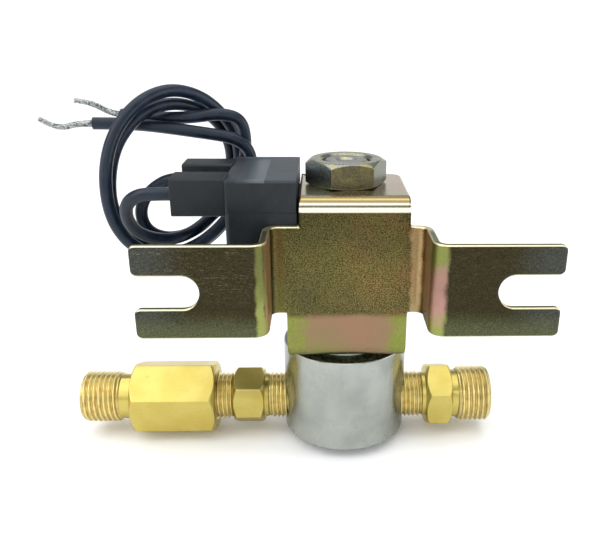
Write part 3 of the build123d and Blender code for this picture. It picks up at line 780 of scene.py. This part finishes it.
def prism(name, outline, axis, low, high, material=None):
    """A closed outline of (a, b) points drawn out along an axis."""
    form = bmesh.new()
    ends = []
    for level in (low, high):
        ring = []
        for a, b in outline:
            corner = {"x": (level, a, b), "y": (a, level, b), "z": (a, b, level)}[axis]
            ring.append(form.verts.new(Vector(corner) * mm))
        ends.append(ring)
        form.faces.new(ring)
    for n in range(len(outline)):
        after = (n + 1) % len(outline)
        form.faces.new((ends[0][n], ends[0][after], ends[1][after], ends[1][n]))
    bmesh.ops.recalc_face_normals(form, faces=form.faces)
    return meshed(name, form, material)


def block(low, high):
    """A rectangle from corner to corner, as an outline."""
    return [(low[0], low[1]), (high[0], low[1]), (high[0], high[1]), (low[0], high[1])]


def disc(radius, count=64):
    """A circle on the plunger axis, as an outline."""
    angles = [2 * math.pi * n / count for n in range(count)]
    return [(radius * math.cos(angle), radius * math.sin(angle)) for angle in angles]


def flat_film(tree, x, z, plate, grain, cloud, hue):
    """Grainy olive on the flat faces: coppery on the plate, browner and darker on the ears."""
    olive = tree.blend(colour(90, 86, 54), colour(106, 98, 56), cloud.rises(0.35, 0.65))
    coppery = 0.7 * hue.rises(0.36, 0.66) * (x / 24 + 0.5).rises(0.2, 0.9)
    copper = tree.blend(olive, colour(124, 98, 66), coppery)
    copper = tree.tinted(copper, 1.06 - 0.34 * (z + 6 * (hue - 0.5)).rises(38, 52))
    tip = (abs(x) + 5 * (hue - 0.5)).rises(27, 36)
    ear = tree.blend(colour(60, 55, 37), colour(72, 74, 68), tip)
    ear = tree.blend(ear, colour(94, 98, 70), (1 - (z + 3 * (cloud - 0.5)).rises(32.5, 37.5)) * 0.8)
    flat = tree.blend(ear, copper, plate)
    speckle = grain.rises(0.3, 0.72) - 0.5
    sparkle = tree.noise(tree.millimetres(), 2.2, 1).rises(0.5, 0.7)
    return tree.tinted(flat, 0.84 + speckle * (0.5 + 0.8 * plate + 0.3 * sparkle))


def tongue_film_and_reflection(tree, x, z, fleck, cloud, hue):
    """Clear pink in the middle of the smooth tongue, green along its sides and lower edge, all lighter than
    the film above it as a painted reflection of the floor.
    """
    rose = tree.blend(colour(141, 112, 88), colour(132, 116, 84), cloud.rises(0.4, 0.7))
    lime = tree.blend(colour(118, 130, 58), colour(138, 133, 80), fleck.rises(0.4, 0.7))
    side_green = (abs(x) + 9 * (hue - 0.5)).rises(7.0, 10.5)
    low_green = (1 - (z + 8 * (hue - 0.5) + x / 4).rises(20.5, 25.5)) * 0.8
    return tree.blend(rose, lime, side_green.most(low_green))


def painted_step_light(tree, film, place, plate, right_side, grain, fleck):
    """Painted reflections and shade along the steps of the ears, tinted lime and pink by the film and broken
    up by noise: bands on the outer folds, lit and shaded tones on the webs and in the inner folds.
    """
    x, y, z = place
    far_out = abs(x)
    depth = y - ear_front
    drift = tree.noise(tree.millimetres(), 0.3, 1) - 0.5
    waver = far_out + 1.5 * drift + 0.5 * (fleck - 0.5)
    lower = 1 - (z + 8 * drift).rises(34, 45)
    # the webs carry painted light and shade: pale near the ears' front and brown towards the plate on the
    # left, a lit tan on the right
    left_web_light_and_shade = tree.blend(colour(220, 180, 134), colour(104, 78, 48), (depth + 2 * drift).rises(8, 10))
    web_light_and_shade = tree.tinted(tree.blend(left_web_light_and_shade, colour(148, 116, 76), right_side), 0.75 + 0.5 * grain)
    web_share = 0.85 * (1 - far_out.rises(14.7, 15.3)) * depth.rises(0.8, 1.6) * (1 - depth.rises(9.6, 11))
    film = tree.blend(film, web_light_and_shade, web_share)
    # the outer folds carry a painted reflection, lime, with a pink middle on the right side
    rosy = (z + 8 * drift).band(37, 42, 4) * right_side
    outer_fold_reflection = tree.blend(colour(140, 146, 82), colour(170, 132, 120), rosy)
    outer_fold_reflection = tree.tinted(outer_fold_reflection, 0.6 + 0.5 * grain + 0.25 * lower)
    outer_share = waver.band(15.2 - right_side, 16.1 + 0.3 * right_side, 0.7 + 0.3 * right_side)
    outer_share = outer_share * (1 - (depth - 1.8 * right_side).rises(2.6, 3.8))
    film = tree.blend(film, outer_fold_reflection, outer_share * (0.5 + 0.4 * lower.most(right_side)))
    # the inner folds carry painted light and shade: dark brown to olive on the left, a pale peach reflection
    # on the right
    left_inner_fold_light_and_shade = tree.blend(colour(86, 68, 40), colour(102, 98, 50), lower)
    inner_fold_light_and_shade = tree.blend(left_inner_fold_light_and_shade, colour(196, 166, 120), right_side)
    inner_share = waver.band(12.5, 13.6, 1.0) * plate * z.band(ear_bottom - 1, ear_top + 1, 0.5)
    return tree.blend(film, tree.tinted(inner_fold_light_and_shade, 0.5 + grain), 0.5 * inner_share)


def top_fold_highlights(tree, z, grain):
    """Painted highlights and painted dark reflections across the top fold, in pale and dark bands."""
    stretch = (z - 51.6 + 0.12 * (grain - 0.5)) / 2.8
    return tree.node("ShaderNodeValToRGB", {"stops": [
        (0.0, colour(190, 188, 150)), (0.12, colour(255, 253, 232)), (0.36, colour(255, 253, 232)),
        (0.43, colour(92, 88, 66)), (0.51, colour(92, 88, 66)), (0.6, colour(250, 246, 212)),
        (0.72, colour(118, 108, 64)), (0.8, colour(122, 110, 68)), (0.88, colour(196, 170, 112)),
        (0.94, colour(112, 98, 54)), (0.99, colour(112, 98, 54)), (1.0, colour(206, 184, 160)),
    ]}, {0: stretch})


def painted_rim_light(tree, film, z, plate, tongue, grain):
    """The film on the blanked rims carries painted light: a highlight on their upper rounded edges, darker on
    the flat tops of the ears, and a painted reflection of the floor on the edges underneath.
    """
    facing = tree.facing_up()
    upper_rim_highlight = tree.blend(colour(240, 232, 190), colour(122, 122, 96), facing.rises(0.9, 0.98) * (1 - plate))
    upper_rim_highlight = tree.tinted(upper_rim_highlight, 0.6 + 0.8 * grain)
    film = tree.blend(film, upper_rim_highlight, 0.85 * facing.rises(0.4, 0.65) * (1 - z.rises(51, 52)))
    under_rim_reflection = tree.tinted(colour(214, 212, 176), 0.7 + 0.6 * grain)
    return tree.blend(film, under_rim_reflection, 0.85 * (0 - facing).rises(0.2, 0.6) * (1 - tongue))


def chromate_surface(tree):
    x, y, z = tree.axes()
    place = tree.millimetres()
    grain = tree.noise(place, 4.8, 2, 0.6)
    fleck = tree.noise(place, 2.0, 3, 0.7)
    cloud = tree.noise(place, 0.085, 3, 0.55, 0.3)
    hue = tree.noise(place, 0.17, 3, 0.6, 0.5)
    plate = (y - plate_front).rises(-3.5, -1.2)
    right_side = x.rises(-1, 1)
    tongue = (1 - (z + 2 * (hue - 0.5)).rises(30.2, 31.8)) * (1 - abs(x).rises(13.0, 14.0))
    film = flat_film(tree, x, z, plate, grain, cloud, hue)
    film = tree.blend(film, tongue_film_and_reflection(tree, x, z, fleck, cloud, hue), tongue)
    film = painted_step_light(tree, film, (x, y, z), plate, right_side, grain, fleck)
    top = z.rises(51.9, 52.9)
    # the upward-facing top plate is lighter, as painted light, with the film's hue in it
    lit_top_tone = tree.blend(colour(198, 178, 156), colour(196, 192, 154), hue.rises(0.42, 0.62))
    film = tree.blend(film, lit_top_tone, top)
    fold = z.rises(51.7, 52) * (1 - z.rises(54.44, 54.49)) * (1 - (y - plate_front).rises(2.4, 3.0))
    film = tree.blend(film, top_fold_highlights(tree, z, grain), 0.9 * fold)
    film = painted_rim_light(tree, film, z, plate, tongue, grain)
    scratches = tree.noise(tree.millimetres((0.2, 1, 1.1)), 1.5, 2, 0.5, 1.2).band(0.5, 0.506, 0.007)
    scratch_share = (0.25 - 0.15 * right_side) * scratches * (1 - plate) * z.rises(36, 42)
    return {
        "Base Color": tree.blend(film, colour(168, 164, 136), scratch_share),
        "Roughness": 0.29 + 0.16 * grain - 0.12 * top.most(tongue * 0.6),
        "Normal": tree.bumped(grain + 0.6 * fleck, 0.5 - 0.34 * tongue.most(top), 0.06),
    }


zinc_steel = finish("zinc_chromate", chromate_surface, Metallic=1.0)

outside = bent_line(
    [(plate_back, yoke_top), (plate_front, yoke_top), (plate_front, yoke_bottom), (plate_back, yoke_bottom)],
    [bend_radius + sheet] * 2)
inside = bent_line(
    [(plate_back, yoke_top - sheet), (plate_front + sheet, yoke_top - sheet),
     (plate_front + sheet, yoke_bottom + sheet), (plate_back, yoke_bottom + sheet)], [bend_radius] * 2)
yoke = prism("yoke_bracket_folded", outside + inside[::-1], "x", -half_plate, half_plate, zinc_steel)
for side in (-1, 1):
    rim, inner, outer = side * half_plate, side * (half_plate - 4), side * (half_plate + 2)
    corner_cut = bent_line([(rim, plate_back - 4), (rim, plate_back), (inner, plate_back)], [corner_radius])
    corner_cut += [(inner, plate_back + 2), (outer, plate_back + 2), (outer, plate_back - 4)]
    yoke = carved(yoke, prism("corner_cut", corner_cut, "z", 0, 80))
yoke = carved(yoke, prism("upper_plate_notch", block((-30, -40), (-9.2, 40)), "z", ear_top, 80))
front_line = bent_line(
    [(-ear_end, ear_front), (-web, ear_front), (-web, plate_front), (web, plate_front), (web, ear_front),
     (ear_end, ear_front)], [bend_radius + sheet, bend_radius, bend_radius, bend_radius + sheet])
back_line = bent_line(
    [(-ear_end, ear_front + sheet), (-web - sheet, ear_front + sheet), (-web - sheet, plate_front + sheet),
     (web + sheet, plate_front + sheet), (web + sheet, ear_front + sheet), (ear_end, ear_front + sheet)],
    [bend_radius, bend_radius + sheet, bend_radius + sheet, bend_radius])
yoke = carved(yoke, prism("ears", front_line + back_line[::-1], "z", ear_bottom, ear_top), "UNION")
half_turn = [math.pi * n / 32 for n in range(33)]
for side in (-1, 1):
    slot_outline = [
        (side * (slot_root + slot_radius - slot_radius * math.sin(a)), slot_z + slot_radius * math.cos(a))
        for a in half_turn] + [(side * 45, slot_z - slot_radius), (side * 45, slot_z + slot_radius)]
    yoke = carved(yoke, prism("ear_slot", slot_outline, "y", ear_front - 2, ear_front + 4))
yoke = carved(yoke, prism("tube_hole", disc(tube_hole), "z", yoke_bottom - 1, yoke_bottom + 3))
yoke = carved(yoke, prism("stud_hole", disc(stud_hole), "z", yoke_top - 3, yoke_top + 1))
form = bmesh.new()
form.from_mesh(yoke.data)
ear_corners = [
    edge for edge in form.edges if all(abs(v.co.x) > (ear_end - 0.02) * mm for v in edge.verts)
    and abs(edge.verts[0].co.y - edge.verts[1].co.y) > mm]
bmesh.ops.bevel(
    form, geom=ear_corners, offset=ear_corner_radius * mm, segments=6, profile=0.5, affect="EDGES")
form.to_mesh(yoke.data)
form.free()
yoke = eased(yoke, 0.5, 4, 40)
placed(yoke, "zinc_steel", "yoke_bracket")


# ---- Core and stud: soft magnetic stainless, brazed into the guide tube, with a 3/8-24 stud on top.
# The copper shading ring sits in its lower face; the top keeps the lathe centre's dimple.
stud_top = 59.2
core_face = 39.04


def core_steel_surface(tree):
    z = tree.axes()[2]
    scratches = tree.noise(tree.millimetres((0.5, 4, 2)), 1.2, 3, 0.6)
    film = tree.noise(tree.millimetres(), 0.55, 3)
    grey = tree.blend(colour(168, 168, 164), colour(128, 128, 126), scratches.rises(0.4, 0.7))
    return {
        # yellow glints are painted on the stud's top face
        "Base Color": tree.blend(grey, colour(206, 190, 84), 0.8 * film.rises(0.58, 0.64) * z.rises(58, 59)),
        "Roughness": 0.3 + 0.2 * scratches,
        "Normal": tree.bumped(scratches, 0.3, 0.08),
    }


core_steel = finish("core_steel", core_steel_surface, Metallic=1.0)
core_profile = [
    (core_face, 2.9, 0.05), (core_face, 2.2, 0.1), (42, 2.2, 0.1), (42, 0, 0), (58.6, 0, 0), (58.7, 1.5, 0.2),
    (stud_top, 2.2, 0.2), (stud_top, 4.0, 0.06), (stud_top - 0.1, 4.1, 0.06), (51, 4.1, 0.05), (51, 4.4, 0.1),
    (core_face, 4.4, 0.1), (core_face, 3.7, 0.05), (40.3, 3.7, 0), (40.3, 2.9, 0),
]
core = turned("fixed_core_turned", smooth_round, core_profile, "z", material=core_steel)
placed(eased(core), "core_steel", "fixed_core")
stud_thread = screw_thread("stud_thread", core_steel, 51.1, stud_top, 4.76, fine_pitch, 0.6, axis="z")
placed(stud_thread, "core_steel", "fixed_core")


# ---- Coil nut: 9/16 inch hexagon jam nut, chamfered on both faces, zinc plated with a pale chromate.
# It clamps the yoke's upper plate on the stud.
nut_flats = 9 / 16 * inch
nut_top = 59.46


def nut_profile(flat):
    face = nut_flats / 2 * 0.975
    length = max(flat - face, 0)
    return [
        (yoke_top, 5.2, 0.1), (yoke_top + 0.02, face, 0.1), (yoke_top + 0.3 * length, flat, 0.16),
        (nut_top - 0.62 * length, flat, 0.16), (nut_top, face, 0.14), (nut_top, 5.35, 0.12),
        (58.9, 4.85, 0.08), (55.1, 4.85, 0.08),
    ]


def nut_surface(tree):
    place = tree.millimetres()
    grain = tree.noise(place, 3.0, 2, 0.6)
    film = tree.noise(place, 0.45, 3, 0.6, 0.5)
    x = tree.axes()[0]
    # each facet carries painted light and shade: pale on the left facet, brown on the front one, greenish on
    # the right one; the chamfers above and below are a painted highlight
    front_side = tree.blend(colour(84, 79, 60), colour(96, 89, 60), film.rises(0.4, 0.62))
    side = tree.blend(colour(176, 186, 182), front_side, x.rises(-3.4, -3.0))
    side = tree.blend(side, colour(98, 103, 84), x.rises(4.9, 5.3))
    chamfer_highlight = tree.blend(colour(138, 140, 130), colour(154, 150, 114), film.rises(0.48, 0.62))
    grey = tree.blend(side, chamfer_highlight, abs(tree.facing_up()).rises(0.12, 0.3))
    return {
        "Base Color": tree.tinted(grey, 0.7 + 0.6 * grain.rises(0.25, 0.75)),
        "Roughness": 0.22 + 0.14 * grain,
        "Normal": tree.bumped(grain, 0.3, 0.05),
    }


nut_steel = finish("nut_steel", nut_surface, Metallic=1.0)
nut = turned("coil_nut_turned", hexagon(nut_flats, 0.3, 8), nut_profile, "z", material=nut_steel)
placed(eased(nut), "nut_steel", "coil_nut")


# ---- Coil case: glass-filled thermoplastic moulded over the bobbin, with a terminal box on its left flank.
# The box has a parting line round its sides and a sunk panel in its top over the two tabs.
def moulding_surface(tree):
    place = tree.millimetres()
    grain = tree.noise(place, 5.0, 2, 0.6)
    flow = tree.noise(place, 0.18, 3, 0.5, 0.6)
    dust = tree.noise(place, 1.1, 4, 0.7)
    x, _, z = tree.axes()
    black = tree.blend(colour(14, 22, 27), colour(24, 31, 36), flow.rises(0.35, 0.7))
    # the box's top is lighter than its black sides as painted light, with a painted shadow of the leads at
    # its left end and a painted reflection in the sunk panel near its right edge
    lit_top_with_lead_shadow = tree.blend(colour(50, 58, 64), colour(34, 41, 48), 1 - x.rises(-21.5, -20))
    lit_top_with_lead_shadow = tree.blend(lit_top_with_lead_shadow, colour(84, 92, 97), x.band(-16.6, -15.5, 3.4) * (1 - x.rises(-15.5, -15.4)))
    lit_top_with_lead_shadow = tree.blend(black, lit_top_with_lead_shadow, z.rises(56.9, 57.1) * x.rises(-23.2, -23))
    return {
        "Base Color": tree.blend(lit_top_with_lead_shadow, colour(86, 92, 96), 0.25 * dust.rises(0.58, 0.8)),
        "Roughness": 0.42 + 0.14 * flow,
        "Normal": tree.bumped(grain, 0.25, 0.05),
    }


black_moulding = finish("black_moulding", moulding_surface, **{"Specular IOR Level": 0.36})
coil_bottom = 23.32
coil_top = 52.88
inner_bottom = coil_bottom + 1
inner_top = coil_top - 1
coil_hole = 5.0
coil_radius = 11.6
winding_room = 10.35
case_profile = [
    (coil_bottom, coil_hole, 0.1), (coil_bottom, coil_radius, 0.8), (coil_top, coil_radius, 0.8),
    (coil_top, coil_hole, 0.1), (inner_top, coil_hole, 0), (inner_top, winding_room, 0),
    (inner_bottom, winding_room, 0), (inner_bottom, coil_hole, 0),
]
coil_case = turned("coil_case_moulded", smooth_round, case_profile, "z", material=black_moulding)
placed(eased(coil_case), "black_moulding", "coil_case")

box_left, box_right, box_front, box_back = -23.0, -9.5, -11.7, 11.3
box_bottom, box_top = 43.0, 57.5
parting_z = 51.35
tab_y = 6.65
tab_z = 53.75
box_outline = bent_line(
    [(box_right, 0), (box_right, box_front), (box_left, box_front), (box_left, box_back),
     (box_right, box_back), (box_right, 0)], [0, 0.8, 0.8, 0])[:-1]
terminal_box = prism("terminal_box", box_outline, "z", box_bottom, box_top, black_moulding)
terminal_box = eased(terminal_box, 0.22, angle=50)
groove_outside = block((box_left - 1, box_front - 1), (box_right + 1, box_back + 1))
groove_inside = block((box_left + 0.1, box_front + 0.1), (box_right - 0.1, box_back - 0.1))
groove = prism("groove", groove_outside, "z", parting_z - 0.05, parting_z + 0.05)
groove = carved(groove, prism("groove_floor", groove_inside, "z", parting_z - 1, parting_z + 1))
terminal_box = carved(terminal_box, groove)
panel = block((box_left - 1, box_front + 0.9), (-15.4, box_back - 0.9))
terminal_box = carved(terminal_box, prism("sunk_panel", panel, "z", box_top - 0.35, box_top + 1))
coil_room = [
    (40, 0, 0), (40, winding_room, 0), (inner_top, winding_room, 0), (inner_top, coil_hole, 0),
    (60, coil_hole, 0), (60, 0, 0),
]
terminal_box = carved(terminal_box, turned("coil_room", smooth_round, coil_room, "z"))
for side in (-1, 1):
    tab_slot = block((side * tab_y - 0.45, tab_z - 3.2), (side * tab_y + 0.45, tab_z + 3.2))
    terminal_box = carved(terminal_box, prism("tab_slot", tab_slot, "x", box_left - 1, box_left + 5))
placed(eased(terminal_box), "black_moulding", "coil_case")


# ---- Connector housings: two slip-on nylon covers, pushed over the tabs until they meet the box.
# Each is a plain shell with softened edges and a funnel where its lead goes in.
housing_left = -33.3
housing_depth = 6.7
housing_height = 7.3
wire_hole = 1.35
funnel = [
    (housing_left - 1, 0, 0), (housing_left - 1, 2.7, 0), (housing_left + 0.5, wire_hole, 0),
    (housing_left + 2.5, wire_hole, 0), (housing_left + 2.5, 0, 0),
]
for end_name, middle in (("front", -tab_y), ("rear", tab_y)):
    low = (middle - housing_depth / 2, tab_z - housing_height / 2)
    high = (middle + housing_depth / 2, tab_z + housing_height / 2)
    corners = [(middle, low[1]), low, (low[0], high[1]), high, (high[0], low[1]), (middle, low[1])]
    outline = bent_line(corners, [0.5] * 4, 5)[:-1]
    housing = prism(f"connector_{end_name}", outline, "x", housing_left, box_left, black_moulding)
    tab_room = block((middle - 2.15, tab_z - 3.25), (middle + 2.15, tab_z + 3.25))
    housing = carved(housing, prism("tab_room", tab_room, "x", housing_left + 1.9, box_left + 1))
    housing = carved(housing, turned("lead_funnel", smooth_round[::2], funnel, "x", (0, middle, tab_z)))
    placed(eased(housing, 0.22), "black_moulding", f"connector_housing_{end_name}")


# ---- Plunger spring: hard-drawn stainless wire, seven working turns and a closed one at each end.
# It sits in both pockets, between the plunger and the core.
drawn_steel = patchy(
    (196, 198, 200), (160, 162, 165), 2.0, (0.2, 0.15), stretch=(2, 2, 0.15), grit=0.6, relief=(0.2, 0.04))
guide_steel = finish("guide_steel", drawn_steel, Metallic=1.0)
spring = Pattern("coil_spring", ["Foot", "Height", "Working Turns", "Radius", "Wire"])
working_turns = spring.value("Working Turns")
spiral = spring.node(
    "GeometryNodeCurveSpiral", {},
    {"Resolution": 32, "Rotations": working_turns + 2, "Start Radius": spring.value("Radius"),
     "End Radius": spring.value("Radius"), "Height": 0.0})
flat_x, flat_y, _ = spring.parts(spring.node("GeometryNodeInputPosition"))
coiled = spring.node("GeometryNodeSplineParameter") * (working_turns + 2)
closed = spring.value("Wire") * 2.1
step = (spring.value("Height") - closed * 2) / working_turns
level = coiled.least(1) * closed + (coiled - 1).most(0).least(working_turns) * step
level = level + (coiled - 1 - working_turns).most(0) * closed + spring.value("Foot")
lifted = spring.node("ShaderNodeCombineXYZ", {}, {0: flat_x, 1: flat_y, 2: level})
lifted = spring.node("GeometryNodeSetPosition", {}, {"Geometry": spiral, "Position": lifted})
spring.close(spring.swept(lifted, spring.value("Wire"), 8))
spring_foot = 31.74
spring_head = 41.76
plunger_spring = spring.grow(
    "plunger_spring_coiled", None, guide_steel, foot=spring_foot * mm,
    height=(spring_head - spring_foot) * mm, working_turns=7, radius=1.7 * mm, wire=0.22 * mm)
plunger_spring.data.shade_smooth()
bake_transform(plunger_spring)
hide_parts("plunger_spring")


# ---- Pieces that stay as they were machined or moulded: inside the valve, the coil and the connectors.
# Each keeps its own shape and gets the finish of its real material.
plain_brass = patchy((222, 192, 110), (190, 150, 78), 0.8, (0.28, 0.15), (0.4, 0.7))
wound_copper = patchy(
    (206, 118, 72), (150, 72, 40), 0.9, (0.25, 0.2), (0.4, 0.65), (1, 1, 24), detail=1, grit=0.4,
    relief=(0.5, 0.1))
moulded_nylon = patchy((208, 200, 176), (186, 176, 150), 0.3, (0.4, 0.15))
woven_tape = patchy(
    (196, 168, 88), (172, 142, 70), 1.4, (0.4, 0.2), (0.4, 0.65), (1, 1, 3), relief=(0.3, 0.05))
black_rubber = patchy((26, 26, 27), (48, 48, 48), 1.2, (0.55, 0.2), (0.4, 0.8), relief=(0.2, 0.05))
terminal_brass = finish("terminal_brass", plain_brass, Metallic=1.0)
copper = finish("copper", wound_copper, Metallic=1.0)
bobbin_plastic = finish("bobbin_plastic", moulded_nylon)
tape = finish("tape", woven_tape)
seal_rubber = finish("seal_rubber", black_rubber)

kept = {
    guide_steel: ["core_tube"],
    core_steel: ["plunger"],
    terminal_brass: ["spade_terminal_front", "spade_terminal_rear", "crimp_receptacle_front",
                     "crimp_receptacle_rear", "retaining_ring"],
    copper: ["copper_winding", "shading_ring"],
    bobbin_plastic: ["bobbin"],
    tape: ["winding_tape"],
    seal_rubber: ["plunger_seal", "body_o_ring", "flow_washer", "screen_collar"],
    body_steel: ["tube_spacer", "strainer_screen"],
}
for material, names in kept.items():
    for name in names:
        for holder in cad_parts[name].material_slots:
            holder.material = material


# ---- Floor and light: a matt white floor that rises all round like a bowl, so that it has no horizon.
# One broad sun overhead and three soft boxes light it, with a weak bluish sky.
floor_z = -2.3


def floor_surface(tree):
    shade = tree.noise(tree.millimetres(), 0.002, 2)
    return {"Base Color": tree.blend(colour(254, 254, 254), colour(251, 251, 252), shade)}


rise = [
    (floor_z + 900 * math.sin(math.radians(64) * n / 12) ** 2, 600 + 150 * n, 0) for n in range(13)]
floor_profile = [(floor_z, 0, 0), *rise, (-60, 2400, 0), (-60, 0, 0)]
floor_white = finish("floor", floor_surface, Roughness=0.9)
turned("floor", smooth_round, floor_profile, "z", material=floor_white)

world = bpy.data.worlds.new("studio")
bpy.context.scene.world = world
world.use_nodes = True
sky = Tree(world.node_tree)
backdrop = sky.node("ShaderNodeBackground", {}, {"Color": (0.93, 0.96, 1, 1), "Strength": 0.385})
sky.node("ShaderNodeOutputWorld", {}, {"Surface": backdrop})


def lamp(name, kind, place, aim, power, **shape):
    light = bpy.data.lights.new(name, kind)
    for key, value in shape.items():
        setattr(light, key, value)
    light.energy = power
    holder = bpy.data.objects.new(name, light)
    bpy.context.scene.collection.objects.link(holder)
    holder.location = place
    holder.rotation_mode = "QUATERNION"
    holder.rotation_quaternion = (Vector(aim) - Vector(place)).to_track_quat("-Z", "Y")


lamp("overhead", "SUN", (-0.12, -0.02, 1), (0, 0, 0), 2.35, angle=math.radians(84))
lamp("front_box", "AREA", (-0.06, -0.62, 0.42), (0, 0, 0.05), 0.85, shape="RECTANGLE", size=0.7, size_y=0.2)
lamp("left_box", "AREA", (-0.45, -0.2, 0.32), (0, 0, 0.03), 0.95, shape="RECTANGLE", size=0.3, size_y=0.4)
lamp("right_box", "AREA", (0.5, -0.12, 0.22), (0, 0, 0.03), 0.8, shape="RECTANGLE", size=0.2, size_y=0.4)
